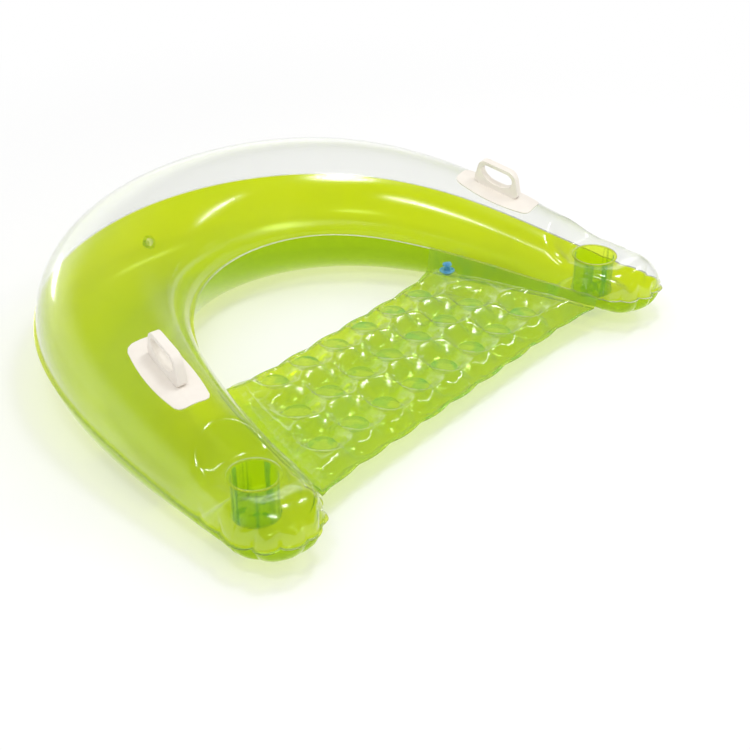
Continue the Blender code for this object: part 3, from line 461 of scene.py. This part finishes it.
def tubeGrid(up):
    # Vertices of one panel: its body from tip to tip, and a round cap at each tip.
    side = tube["sideSteps"]
    even = np.linspace(-1, 1, tube["stations"] + 1)
    shares = np.sin(even * math.pi / 2 * tube["crowding"]) / math.sin(math.pi / 2 * tube["crowding"])
    cut = sections(shares)
    height = "rise" if up > 0 else "fall"
    angle = np.pi * (np.arange(2 * side + 1) / (2 * side) - 0.5)
    centre, inward = cut["centre"][:, None, :], cut["inward"][:, None, :]
    away = ((1 - np.abs(shares)) * halfLength)[:, None]
    toSeam = np.cos(angle)[None, :] * np.ones((len(shares), 1))
    pinch = np.where(np.sin(angle)[None, :] > 0, bodyPinch(away, toSeam, 1), bodyPinch(away, toSeam, -1))
    draw = 1 - pucker["bodyDepth"] / cut["radius"][:, None] * pinch
    plan = centre + inward * (cut["radius"][:, None] * np.sin(angle)[None, :] * draw)[..., None]
    rise = cut[height][:, None] * np.cos(angle)[None, :]
    level = cut["seam"][:, None] - cut["drop"][:, None] * outward(np.sin(angle)[None, :])
    body = np.concatenate([plan, (level + up * (tube["gap"] / 2 + rise))[..., None]], -1)
    tips = []
    turns = math.pi * (np.arange(tube["tipSteps"] + 1) / tube["tipSteps"] - 0.5)
    lift = np.pi / 2 * np.arange(side + 1) / side
    keep, sink = pucker["sink"]
    for end in (-1.0, 1.0):
        tip = sections(end)
        centre, radius, half = tip["centre"][0], tip["radius"][0], tip[height][0]
        forward = tip["run"][0] * end
        flat = tip["inward"][0][None, :] * np.sin(turns)[:, None] + forward[None, :] * np.cos(turns)[:, None]
        draw = 1 - pucker["depth"] / radius * capPinch(turns[:, None], np.sin(lift)[None, :], end, up)
        plan = centre + flat[:, None, :] * (radius * np.cos(lift)[None, :] * draw)[..., None]
        level = tip["seam"][0] - tip["drop"][0] * outward(np.sin(turns)[:, None] * np.cos(lift)[None, :])
        high = level + up * (tube["gap"] / 2 + half * np.sin(lift)[None, :] * (keep + sink * draw))
        high = np.broadcast_to(high, plan.shape[:2])
        tips.append((np.concatenate([plan, high[..., None]], -1), flat, turns, lift))
    return body, toSeam, cut, tips


def tubePanel(name, up, level, material):
    # The upper (up 1) or lower (up -1) panel with its weld flange, drawn to the cups at a level.
    body, toSeam, cut, tips = tubeGrid(up)
    side = tube["sideSteps"]
    points, faces, seams = [], [], []
    body = dish(body, level, toSeam)
    rows, columns = body.shape[:2]
    flangeEdges = np.empty((rows, 2, 3))
    for i, sign in ((0, -1), (1, 1)):
        flangeEdges[:, i, :2] = body[:, -i, :2] + cut["inward"] * (sign * tube["flange"])
        flangeEdges[:, i, 2] = body[:, -i, 2]
    grid = np.concatenate([flangeEdges[:, :1], body, flangeEdges[:, 1:]], 1)
    points.extend(grid.reshape(-1, 3))
    wide = columns + 2
    for i in range(rows - 1):
        for j in range(wide - 1):
            a = i * wide + j
            faces.append((a, a + 1, a + wide + 1, a + wide))
            seams.append(j in (0, wide - 2))
    for (cap, flat, turns, lift), row in zip(tips, (0, rows - 1)):
        cap = dish(cap, level, np.sin(lift)[None, :] * np.ones((len(turns), 1)))
        crown = row * wide + 1 + side
        ids = np.empty((len(turns), side + 1), int)
        rims = np.empty(len(turns), int)
        ids[:, -1] = crown
        ids[0] = [row * wide + 1 + k for k in range(side + 1)]
        ids[-1] = [row * wide + wide - 2 - k for k in range(side + 1)]
        rims[0], rims[-1] = row * wide, row * wide + wide - 1
        for m in range(1, len(turns) - 1):
            for k in range(side):
                ids[m, k] = len(points)
                points.append(cap[m, k])
            rims[m] = len(points)
            points.append((*(cap[m, 0, :2] + flat[m] * tube["flange"]), cap[m, 0, 2]))
        for m in range(len(turns) - 1):
            faces.append((rims[m], rims[m + 1], ids[m + 1, 0], ids[m, 0]))
            for k in range(side - 1):
                faces.append((ids[m, k], ids[m + 1, k], ids[m + 1, k + 1], ids[m, k + 1]))
            faces.append((ids[m, side - 1], ids[m + 1, side - 1], crown))
            seams.extend([True] + [False] * side)
    points = np.array(points)
    if up < 0:
        points[:, 2] = np.maximum(points[:, 2], tube["sheet"])
    panel = meshPiece(name, points, faces, material)
    panel.data.materials.append(materials["seamClear" if up > 0 else "seamGreen"])
    panel.data.polygons.foreach_set("material_index", [int(seam) for seam in seams])
    return panel


def knit(bm, outer, inner, centre, along, across):
    # Fills the band between two rings of vertices that both go round a centre.
    up = along.cross(across)

    def turned(verts):
        marked = sorted(((math.atan2((v.co - centre).dot(across), (v.co - centre).dot(along)), v) for v in verts),
                        key=lambda pair: pair[0])
        return marked + [(marked[0][0] + 2 * math.pi, marked[0][1])]

    ringA, ringB = turned(outer), turned(inner)
    i = j = 0
    while i < len(ringA) - 1 or j < len(ringB) - 1:
        stepA = j == len(ringB) - 1 or (i < len(ringA) - 1 and ringA[i + 1][0] < ringB[j + 1][0])
        if stepA:
            corners = (ringA[i][1], ringA[i + 1][1], ringB[j][1])
            i += 1
        else:
            corners = (ringA[i][1], ringB[j + 1][1], ringB[j][1])
            j += 1
        face = bm.faces.new(corners)
        face.smooth = True
        face.normal_update()
        if face.normal.dot(up) < 0:
            face.normal_flip()


def cutRound(piece, centre, along, across, clear, radii, closed):
    # Cuts a jagged opening round a point of a sheet, and knits even flat rings into it.
    centre, along, across = Vector(centre), Vector(along), Vector(across)
    up = along.cross(across)
    squarely = 0.2  # a face that looks out less than this belongs to another part of the sheet
    bm = bmesh.new()
    bm.from_mesh(piece.data)
    gone = []
    for face in bm.faces:
        arm = face.calc_center_median() - centre
        rise = arm.dot(up)
        if (arm - up * rise).length < clear and abs(rise) < clear and face.normal.dot(up) > squarely:
            gone.append(face)
    touched = {v for face in gone for v in face.verts}
    bmesh.ops.delete(bm, geom=gone, context="FACES")
    outer = [v for v in touched if v.is_valid and any(len(edge.link_faces) == 1 for edge in v.link_edges)]
    for radius in radii:
        inner = []
        for step in range(cup["steps"]):
            turn = 2 * math.pi * step / cup["steps"]
            inner.append(bm.verts.new(
                centre + along * (radius * math.cos(turn)) + across * (radius * math.sin(turn))))
        knit(bm, outer, inner, centre, along, across)
        outer = inner
    if closed:
        face = bm.faces.new(outer)
        face.normal_update()
        if face.normal.dot(up) < 0:
            face.normal_flip()
    bmesh.ops.delete(bm, geom=[v for v in bm.verts if not v.link_faces], context="VERTS")
    bm.to_mesh(piece.data)
    bm.free()
    piece.data.shade_smooth()
    return piece


# The tube's own valve sits low on the outer side of the back
tubeValve = {"angle": 60, "flange": 0.016, "hole": 0.0085, "clear": 0.0352}


def tubeValvePlace():
    cut = sections(0.0)
    turn = math.radians(tubeValve["angle"])
    inward, radius, fall = cut["inward"][0], cut["radius"][0], cut["fall"][0]
    point = (*(cut["centre"][0] - inward * radius * math.sin(turn)), cut["seam"][0] - fall * math.cos(turn))
    out = Vector((*(-inward * math.sin(turn) / radius), -math.cos(turn) / fall)).normalized()
    return Vector(point), Vector((1, 0, 0)), out


flatReach = cup["radius"] + cup["dishFlat"]
cutReach, innerReach = flatReach - cup["cutBack"], flatReach - cup["innerBack"]
topPanel = orient(tubePanel("clear_top_panel", 1, cup["rimHeight"], "clear"), (0, 0, 1))
bottomPanel = orient(tubePanel("green_bottom_panel", -1, cup["floorHeight"], "green"), (0, 0, -1))
for axis in cupAxes.values():
    cutRound(topPanel, (*axis, cup["rimHeight"]), (1, 0, 0), (0, 1, 0), cutReach,
             (innerReach, cup["radius"] + tube["gap"]), False)
    cutRound(bottomPanel, (*axis, cup["floorHeight"]), (0, 1, 0), (1, 0, 0), cutReach, (innerReach,), True)
point, run, out = tubeValvePlace()
cutRound(bottomPanel, point, run, out.cross(run), tubeValve["clear"],
         (tubeValve["flange"] + 3 * tube["gap"], tubeValve["hole"]), False)
dress(thicken(topPanel, tube["sheet"]), "chair", "clear_vinyl", "tube_top_panel")
dress(thicken(bottomPanel, tube["sheet"]), "chair", "green_vinyl", "tube_bottom_panel")
print("tube panels made")


# Cup wells: a pleated sleeve with a welded ring at the rim and at the floor

def cupWell(side):
    axis = cupAxes[side]
    top = cup["rimHeight"] + tube["sheet"] + tube["gap"]
    base = cup["floorHeight"] + tube["gap"]
    turns = 2 * np.pi * np.arange(cup["steps"]) / cup["steps"]
    start = cup["pleatStart"][side]
    swing = cup["pleatSwing"] * np.sin(2 * turns + start)
    fold = np.abs(np.sin(cup["pleats"] * turns / 2 + start + swing)) ** cup["pleatSharpness"]
    wall = cup["wall"]
    profile = [(cup["radius"] + cup["baseFlange"], base, 0), (cup["radius"], base, 0)]
    for k in range(1, cup["wallSteps"]):
        share = k / cup["wallSteps"]
        belly = math.sin(math.pi * share) ** cup["pleatBelly"]
        profile.append((cup["radius"], base + (top - base) * share, belly))
    profile += [(cup["radius"], top - cup["lip"], 0), (cup["radius"] + cup["lipReach"], top, 0),
                (cup["radius"] + cup["flange"], top, 0)]
    points = []
    for radius, height, share in profile:
        reach = radius - cup["pleatDepth"] * share * (1 - fold)
        points.extend(np.stack([axis[0] + reach * np.cos(turns), axis[1] + reach * np.sin(turns),
                                np.full(len(turns), height)], -1))
    faces = []
    count = len(turns)
    for row in range(len(profile) - 1):
        for k in range(count):
            a, b = row * count + k, row * count + (k + 1) % count
            faces.append((a, b, b + count, a + count))
    sleeve = meshPiece("cup_well_" + side, points, faces, "cup", 60)
    sleeve.data.materials.append(materials["seamGreen"])
    for face in sleeve.data.polygons[-2 * count:]:
        face.material_index = 1
    orient(sleeve, (0, 0, 1))
    dress(thicken(sleeve, wall), "chair", "cup_vinyl", "cup_sleeve_" + side)

    inner = cup["radius"] - wall - tube["gap"]
    middle = base + cup["floor"] / 2
    crown = [(0.0, 0.0004), (0.5, 0.0003), (0.8, 0.0002), (0.93, 0.0), (1.0, 0.0)]  # share of the radius, rise
    disc = [(axis[0], axis[1], middle + crown[0][1])]
    for share, rise in crown[1:]:
        radius = share * inner
        disc.extend(np.stack([axis[0] + radius * np.cos(turns), axis[1] + radius * np.sin(turns),
                              np.full(count, middle + rise)], -1))
    faces = [(0, 1 + k, 1 + (k + 1) % count) for k in range(count)]
    for row in range(len(crown) - 2):
        for k in range(count):
            a, b = 1 + row * count + k, 1 + row * count + (k + 1) % count
            faces.append((a, a + count, b + count, b))
    floor = orient(meshPiece("cup_base_" + side, disc, faces, "cup"), (0, 0, 1))
    dress(thicken(floor, cup["floor"] / 2), "chair", "cup_vinyl", "cup_floor_" + side)


for side in cupAxes:
    cupWell(side)
print("cup wells made")


# Seat: two sheets welded round the edge and at staggered spots, blown up. Bend and lobeFade are the powers by which
# its long edges turn to the corners and its scallops fade out there.

seat = {"height": 0.062, "frontSetback": 0.003, "length": 0.325, "backFlare": 0.022, "frontFlare": 0.010,
        "weld": 0.007, "puff": 0.0255, "puffReach": 0.031, "dotRadius": 0.0255, "rows": 3, "frontDots": 8,
        "frontMargin": 0.087, "backMargin": 0.038, "sideMargin": 0.087, "stripTurn": 0.0078, "stripRun": 0.010,
        "stripLap": 0.006, "stripStart": 0.001, "mesh": 0.0046, "meshClear": 0.45, "scallop": 0.0055, "sag": 0.009,
        "crown": 0.9, "ringSteps": 32, "innerRingSteps": 28, "innerRing": 0.003, "ringClear": 0.0016,
        "valveSide": 0.031, "valveBack": 0.042, "valveFlange": 0.016, "valveHole": 0.0085, "valveClear": 0.001,
        "valveHoleSteps": 24, "valveLevel": 0.0012, "sideSteps": 24, "edgeSteps": 96, "cornerClear": 0.002,
        "bend": 6, "lobeFade": 8}
seatFront = line["tipLine"] + seat["frontSetback"]
seatBack = seatFront + seat["length"]
seatShares = (shareAtSeam(seatFront - seat["frontFlare"]), shareAtSeam(seatBack + seat["backFlare"]))
seatInset = seat["stripTurn"] + seat["stripRun"] + tube["gap"]


def seatSide(offset):
    steps = seat["sideSteps"]
    shares = seatShares[0] + (seatShares[1] - seatShares[0]) * np.arange(steps + 1) / steps
    cut = sections(shares)
    return cut["centre"] + cut["inward"] * (cut["radius"] + offset)[:, None]


def reachAt(side, y):
    return float(np.interp(y, side[:, 1], side[:, 0]))


frontRow = seatFront + seat["frontMargin"]
rowSpacing = (seatBack - seat["backMargin"] - frontRow) / (seat["rows"] - 1)
dotSpacing = 2 * (reachAt(seatSide(seatInset), frontRow) - seat["sideMargin"]) / (seat["frontDots"] - 1)
dots = []
for row in range(seat["rows"]):
    count = seat["frontDots"] - row
    dots.extend(((step - (count - 1) / 2) * dotSpacing, frontRow + row * rowSpacing) for step in range(count))
dots = np.array(dots)
valveY = seatBack - seat["valveBack"]
seatValve = np.array((reachAt(seatSide(seatInset), valveY) - seat["valveSide"], valveY))


def seatOutline(inset):
    # The edge, anticlockwise from the front, with shallow scallops between the spots.
    steps = seat["edgeSteps"]
    right = seatSide(seatInset + inset)
    front, back = right[0, 1] + inset, right[-1, 1] - inset

    def across(y, middle, wave):
        reach = reachAt(right, y)
        run = []
        for step in range(1, steps):
            u = 2 * step / steps - 1
            x = reach * u
            lobe = abs(math.sin(math.pi * (x / dotSpacing + (0.5 if wave > 0 else 0.0))))
            lobes = wave * (1 - lobe) * (1 - u ** seat["lobeFade"])
            run.append((x, middle + (y - middle) * u ** seat["bend"] + lobes))
        return run

    frontRun = across(front, seatFront + inset, seat["scallop"])
    backRun = across(back, seatBack - inset, -seat["scallop"])
    inner = [tuple(p) for p in right if front + seat["cornerClear"] < p[1] < back - seat["cornerClear"]]
    sideRun = [(reachAt(right, front), front)] + inner + [(reachAt(right, back), back)]
    edge = frontRun + sideRun + backRun[::-1] + [(-x, y) for x, y in sideRun[::-1]]
    return np.array(edge)


seatEdge = seatOutline(seat["weld"])


def edgeDistance(points, loop):
    # Distance of many plan points from a closed loop, and whether each lies inside it.
    start, end = loop, np.roll(loop, -1, 0)
    run = end - start
    length = (run ** 2).sum(1)
    best = np.full(len(points), 1e9)
    inside = np.zeros(len(points), bool)
    for a, b, r, l in zip(start, end, run, length):
        t = np.clip(((points - a) @ r) / l, 0, 1)
        best = np.minimum(best, np.hypot(*(points - a - t[:, None] * r).T))
        if a[1] != b[1]:
            crosses = (a[1] > points[:, 1]) != (b[1] > points[:, 1])
            inside ^= crosses & (points[:, 0] < a[0] + r[0] * (points[:, 1] - a[1]) / r[1])
    return best, inside


def puffHeight(points):
    nearDot = np.min([np.hypot(*(points - d).T) for d in dots], 0) - seat["dotRadius"]
    nearEdge, inside = edgeDistance(points, seatEdge)
    nearest = np.where(inside, np.minimum(nearDot, nearEdge), 0.0)
    return seat["puff"] * np.sin(np.clip(nearest / seat["puffReach"], 0, 1) * math.pi / 2) ** seat["crown"]


def ringAt(centre, radius, steps):
    turns = 2 * np.pi * np.arange(steps) / steps
    return np.stack([centre[0] + radius * np.cos(turns), centre[1] + radius * np.sin(turns)], -1)


def seatFlatMesh(withValve):
    # An even triangle mesh of the seat's plan that follows its edge, its welds and its valve.
    outline = seatOutline(0.0)
    points, edges = [], []

    def addLoop(loop):
        start = len(points)
        points.extend(tuple(p) for p in loop)
        edges.extend((start + i, start + (i + 1) % len(loop)) for i in range(len(loop)))

    addLoop(outline)
    addLoop(seatEdge)
    for dot in dots:
        addLoop(ringAt(dot, seat["dotRadius"], seat["ringSteps"]))
        addLoop(ringAt(dot, seat["dotRadius"] - seat["innerRing"], seat["innerRingSteps"]))
    if withValve:
        addLoop(ringAt(seatValve, seat["valveHole"], seat["valveHoleSteps"]))
        addLoop(ringAt(seatValve, seat["valveFlange"] + seat["valveClear"], seat["ringSteps"]))
    step, rowRatio = seat["mesh"], 0.866  # an even triangle's height over its side
    clear = step * seat["meshClear"]
    low, high = outline.min(0), outline.max(0)
    grid = []
    rows = int((high[1] - low[1]) / (step * rowRatio)) + 1
    for r in range(rows):
        x = np.arange(low[0] + (r % 2) * step / 2, high[0], step)
        grid.append(np.stack([x, np.full(len(x), low[1] + r * step * rowRatio)], -1))
    grid = np.concatenate(grid)
    nearOuter, inside = edgeDistance(grid, outline)
    nearWeld, _ = edgeDistance(grid, seatEdge)
    nearDot = np.min([np.hypot(*(grid - d).T) for d in dots], 0)
    keep = inside & (nearOuter > clear) & (nearWeld > clear)
    keep &= np.abs(nearDot - seat["dotRadius"]) > clear
    keep &= np.abs(nearDot - seat["dotRadius"] + seat["innerRing"]) > seat["ringClear"]
    if withValve:
        nearValve = np.hypot(*(grid - seatValve).T)
        keep &= nearValve > seat["valveFlange"] + seat["valveClear"] + clear
    points.extend(tuple(p) for p in grid[keep])
    verts, _, faces, _, _, _ = geometry.delaunay_2d_cdt([Vector(p) for p in points], edges, [], 1, 1e-6)
    verts = np.array([(v.x, v.y) for v in verts])
    if withValve:
        middle = np.array([verts[list(f)].mean(0) for f in faces])
        keep = np.hypot(*(middle - seatValve).T) > seat["valveHole"]
        faces = [f for f, k in zip(faces, keep) if k]
    return verts, faces


def inflate(piece, held, cloth):
    # Blows a sheet up with its welds held, and keeps the shape.
    group = piece.vertex_groups.new(name="held")
    group.add([int(i) for i in np.nonzero(held)[0]], 1.0, "REPLACE")
    made = piece.modifiers.new("air", "CLOTH")
    s = made.settings
    s.quality, s.mass = cloth["quality"], cloth["mass"]
    s.tension_stiffness = s.compression_stiffness = cloth["stretch"]
    s.shear_stiffness, s.bending_stiffness = cloth["shear"], cloth["bend"]
    s.tension_damping = s.compression_damping = s.shear_damping = cloth["damping"]
    s.air_damping = cloth["airDamping"]
    s.shrink_min = -cloth["slack"]
    s.use_pressure, s.uniform_pressure_force = True, cloth["pressure"]
    s.effector_weights.gravity = 0.0
    s.vertex_group_mass = "held"
    made.collision_settings.use_collision = False
    scene = bpy.context.scene
    made.point_cache.frame_start, made.point_cache.frame_end = 1, cloth["frames"]
    for step in range(1, cloth["frames"] + 1):
        scene.frame_set(step)
    applyModifiers(piece)
    scene.frame_set(1)
    piece.vertex_groups.clear()
    return piece


seatCloth = {"quality": 6, "mass": 0.12, "stretch": 30.0, "shear": 12.0, "bend": 0.35, "damping": 12.0,
             "airDamping": 3.0, "slack": 0.06, "pressure": 8.0, "frames": 30, "cap": 0.034, "share": 0.42}


def sagAt(points):
    # The seat hangs a little in its middle, more so along the front edge.
    across = np.clip(1 - (points[:, 0] / reachAt(seatSide(seatInset), seatFront)) ** 2, 0, 1)
    toFront = np.clip((seatBack - points[:, 1]) / seat["length"], 0, 1)
    return seat["sag"] * across * toFront ** 2


def seatSheet(name, up, withValve, material):
    # One sheet of the mattress, the upper (up 1) or the lower (up -1). Its welds get the paler film.
    plan, faces = seatFlatMesh(withValve)
    height = puffHeight(plan)
    nearDot = np.min([np.hypot(*(plan - d).T) for d in dots], 0)
    _, inside = edgeDistance(plan, seatEdge)
    tiny = 1e-5
    held = (nearDot < seat["dotRadius"] + tiny) | ~inside | (height < tiny)
    if withValve:
        nearValve = np.hypot(*(plan - seatValve).T)
        atValve = nearValve < seat["valveFlange"] + seat["valveLevel"]
        height = np.where(atValve, puffHeight(seatValve[None, :])[0], height)
        held |= atValve
    points = np.concatenate([plan, (seat["height"] + up * (tube["gap"] / 2 + height))[:, None]], -1)
    piece = orient(meshPiece(name, points, faces, material), (0, 0, up))
    inflate(piece, held, seatCloth)
    blown = np.array([v.co for v in piece.data.vertices])
    rise = np.clip((blown[:, 2] - seat["height"]) * up, tube["gap"] / 2, seatCloth["cap"])
    blown[:, 2] = seat["height"] + up * rise
    place = points + (blown - points) * seatCloth["share"]
    place[:, 2] -= sagAt(place)
    piece.data.vertices.foreach_set("co", place.ravel())
    piece.data.materials.append(materials["weld"])
    middles = np.array([face.center[:2] for face in piece.data.polygons])
    _, onCushion = edgeDistance(middles, seatEdge)
    for face, middle in zip(piece.data.polygons, middles):
        if np.hypot(*(dots - middle).T).min() < seat["dotRadius"] or not onCushion[face.index]:
            face.material_index = 1
    return piece


seatTop = seatSheet("seat_top", 1, True, "seatClear")
dress(thicken(seatTop, tube["sheet"]), "chair", "clear_vinyl", "seat_top_sheet")
seatBottom = seatSheet("seat_bottom", -1, False, "seatGreen")
dress(thicken(seatBottom, tube["sheet"]), "chair", "green_vinyl", "seat_bottom_sheet")
print("seat made")


# Joining strips, from the tube's inner seam down to the seat's welded sides, with pressed weld lines along them

def joiningStrip(side):
    mirror = 1 if side == "left" else -1
    ribs = {"count": 4, "height": 0.0007, "start": 1.2, "spacing": 0.45, "width": 0.07}
    onSeat = seat["height"] + tube["gap"] / 2 + tube["sheet"] + tube["gap"]
    steps, lines, soften = 90, 40, 5
    shares = seatShares[0] + (seatShares[1] - seatShares[0]) * np.arange(steps + 1) / steps
    cut = sections(shares)
    dropEnd = seat["stripTurn"] + seat["stripRun"]
    stops = np.array([seat["stripStart"], seat["stripTurn"], dropEnd, dropEnd + tube["gap"] + seat["stripLap"]])
    points = []
    for i in range(steps + 1):
        onFlange = cut["seam"][i] + tube["gap"] / 2 + tube["sheet"] + tube["gap"]
        heights = np.array([onFlange, onFlange, onSeat, onSeat])
        t = np.linspace(0, 3, lines + 1)
        offset, height = np.interp(t, range(4), stops), np.interp(t, range(4), heights)
        soft = np.convolve(np.pad(height, soften // 2, "edge"), np.ones(soften) / soften, "valid")
        wave = sum(np.exp(-((t - ribs["start"] - ribs["spacing"] * k) / ribs["width"]) ** 2)
                   for k in range(ribs["count"]))
        height = soft + ribs["height"] * wave
        plan = cut["centre"][i] + cut["inward"][i] * (cut["radius"][i] + offset)[:, None]
        points.extend(np.stack([mirror * plan[:, 0], plan[:, 1], height], -1))
    wide = lines + 1
    faces = [(a, a + 1, a + wide + 1, a + wide) for i in range(steps) for a in range(i * wide, i * wide + lines)]
    strip = orient(meshPiece("joining_strip_" + side, points, faces, "strip"), (0, 0, 1))
    dress(thicken(strip, tube["sheet"]), "chair", "green_vinyl", "seat_joining_strip_" + side)


for side in cupAxes:
    joiningStrip(side)
print("joining strips made")


# Valves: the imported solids, in blue plastic on the seat and clear plastic on the tube

for name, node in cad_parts.items():
    if "_valve_" in name:
        node.data.materials.clear()
        node.data.materials.append(materials["valve" if name.startswith("seat") else "clearValve"])


# Handles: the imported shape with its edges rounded

def grabHandle(side):
    edge = {"width": 0.0011, "segments": 3, "angle": 32, "join": 0.00002, "flat": 2, "sharp": 40}
    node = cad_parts["grab_handle_" + side]
    mesh = node.data.copy()
    mesh.transform(node.matrix_world)
    mesh.materials.clear()
    mesh.materials.append(materials["handle"])
    piece = bpy.data.objects.new("rounded_handle_" + side, mesh)
    bpy.context.scene.collection.objects.link(piece)
    bm = bmesh.new()
    bm.from_mesh(mesh)
    bmesh.ops.remove_doubles(bm, verts=bm.verts, dist=edge["join"])
    bmesh.ops.dissolve_limit(bm, angle_limit=math.radians(edge["flat"]), verts=bm.verts, edges=bm.edges)
    bm.to_mesh(mesh)
    bm.free()
    bevel = piece.modifiers.new("edges", "BEVEL")
    bevel.width, bevel.segments = edge["width"], edge["segments"]
    bevel.limit_method, bevel.angle_limit = "ANGLE", math.radians(edge["angle"])
    applyModifiers(piece)
    piece.data.shade_smooth()
    piece.data.set_sharp_from_angle(angle=math.radians(edge["sharp"]))
    dress(piece, "chair", "handle_plastic", "grab_handle_" + side)


for side in cupAxes:
    grabHandle(side)
print("handles made")


# Floor, light and camera

stage = {"floorSize": 14.0, "floorColor": (0.97, 0.97, 0.965), "floorGap": 0.0004, "lift": 0.30, "near": 0.75,
         "far": 1.9}


def makeFloor():
    # A pale floor that fades to plain white away from the chair and keeps the chair's shadow.
    g = newGraph("studioFloor")
    seen = g.math("ADD", g.path("Is Camera Ray"), g.path("Is Glossy Ray"), clamp=True)
    seen = g.math("ADD", seen, g.path("Is Transmission Ray"), clamp=True)
    matt = g.node("ShaderNodeBsdfDiffuse", None, {"Color": shade(stage["floorColor"])})
    glow = g.node("ShaderNodeEmission", None, {"Color": white, "Strength": 1.0})
    place = g.node("ShaderNodeTexCoord", output=3)
    away = g.node("ShaderNodeVectorMath", {"operation": "LENGTH"}, {0: place}, output=1)
    lift = g.span(away, stage["near"], stage["far"], stage["lift"], 1.0)
    material = g.finish(g.node("ShaderNodeMixShader", None, {0: lift * seen, 1: matt, 2: glow}))
    half = stage["floorSize"] / 2
    mesh = bpy.data.meshes.new("studio_floor")
    mesh.from_pydata([(-half, -half, 0), (half, -half, 0), (half, half, 0), (-half, half, 0)], [], [(0, 1, 2, 3)])
    floor = bpy.data.objects.new("studio_floor", mesh)
    bpy.context.scene.collection.objects.link(floor)
    floor.location.z = -stage["floorGap"]
    mesh.materials.append(material)


cameraPlace = {"azimuth": -49.02, "elevation": 33.24, "distance": 2.435, "target": (-0.1663, -0.3257, 0.144),
               "focal": 66.2}


def viewWay(azimuth, elevation):
    # The direction from the object out to a viewer or a lamp.
    a, e = math.radians(azimuth), math.radians(elevation)
    return Vector((math.sin(a) * math.cos(e), -math.cos(a) * math.cos(e), math.sin(e)))


def makeCamera():
    data = bpy.data.cameras.new("camera")
    data.lens, data.sensor_width = cameraPlace["focal"], 36.0
    data.clip_end = 50.0
    camera = bpy.data.objects.new("camera", data)
    bpy.context.scene.collection.objects.link(camera)
    way = viewWay(cameraPlace["azimuth"], cameraPlace["elevation"])
    camera.location = Vector(cameraPlace["target"]) + way * cameraPlace["distance"]
    camera.rotation_euler = way.to_track_quat("Z", "Y").to_euler()
    bpy.context.scene.camera = camera


studio = {"bright": 1.3, "dim": 0.03, "overhead": 0.12, "middle": 0.76, "farAzimuth": 178.0, "ahead": (0.22, 0.70),
          "height": (0.25, 0.6)}


def makeWorld():
    # White surroundings beyond the chair, dim ones on the near side, and a white backdrop wherever it shows.
    world = bpy.data.worlds.new("studio")
    bpy.context.scene.world = world
    g = Graph(world)
    way = g.node("ShaderNodeTexCoord", output=0)
    far = viewWay(studio["farAzimuth"], 0.0)
    ahead = g.node("ShaderNodeVectorMath", {"operation": "DOT_PRODUCT"}, {0: way, 1: tuple(far)}, output=1)
    height = g.node("ShaderNodeVectorMath", {"operation": "DOT_PRODUCT"}, {0: way, 1: (0.0, 0.0, 1.0)}, output=1)
    level = g.span(ahead, *studio["ahead"], studio["dim"], studio["bright"])
    level = level * g.span(height, *studio["height"], 1.0, studio["overhead"])
    seen = g.math("ADD", g.path("Is Camera Ray"), g.path("Is Transmission Ray"), clamp=True)
    diffuse = g.path("Is Diffuse Ray")
    power = level * (1 - diffuse) + studio["middle"] * diffuse
    power = power * (1 - seen) + seen
    sky = g.node("ShaderNodeBackground", None, {"Color": white, "Strength": power})
    g.finish(sky, "ShaderNodeOutputWorld")


lamps = [
    {"name": "key", "azimuth": 19, "elevation": 76, "distance": 2.6, "size": (0.58, 0.40), "power": 13.0, "roll": 0},
    {"name": "side", "azimuth": -60, "elevation": 56, "distance": 2.8, "size": (0.72, 0.24), "power": 9.0, "roll": 0},
    {"name": "front", "azimuth": 65, "elevation": 45, "distance": 2.8, "size": (1.15, 0.15), "power": 8.0,
     "roll": -57},
    {"name": "window", "azimuth": -176, "elevation": 9, "distance": 3.0, "size": (0.80, 0.24), "power": 5.0,
     "roll": 0},
]


def makeLamps():
    for spec in lamps:
        data = bpy.data.lights.new(spec["name"], "AREA")
        data.shape = "ELLIPSE"
        data.size, data.size_y = spec["size"]
        data.energy = spec["power"]
        lamp = bpy.data.objects.new(spec["name"], data)
        bpy.context.scene.collection.objects.link(lamp)
        way = viewWay(spec["azimuth"], spec["elevation"])
        lamp.location = way * spec["distance"]
        turned = way.to_track_quat("Z", "Y") @ Quaternion((0.0, 0.0, 1.0), math.radians(spec["roll"]))
        lamp.rotation_euler = turned.to_euler()


makeFloor()
makeCamera()
makeWorld()
makeLamps()
scene = bpy.context.scene
scene.view_settings.view_transform = "Standard"
scene.cycles.transparent_max_bounces = 96
scene.cycles.max_bounces = 24
print("stage made")
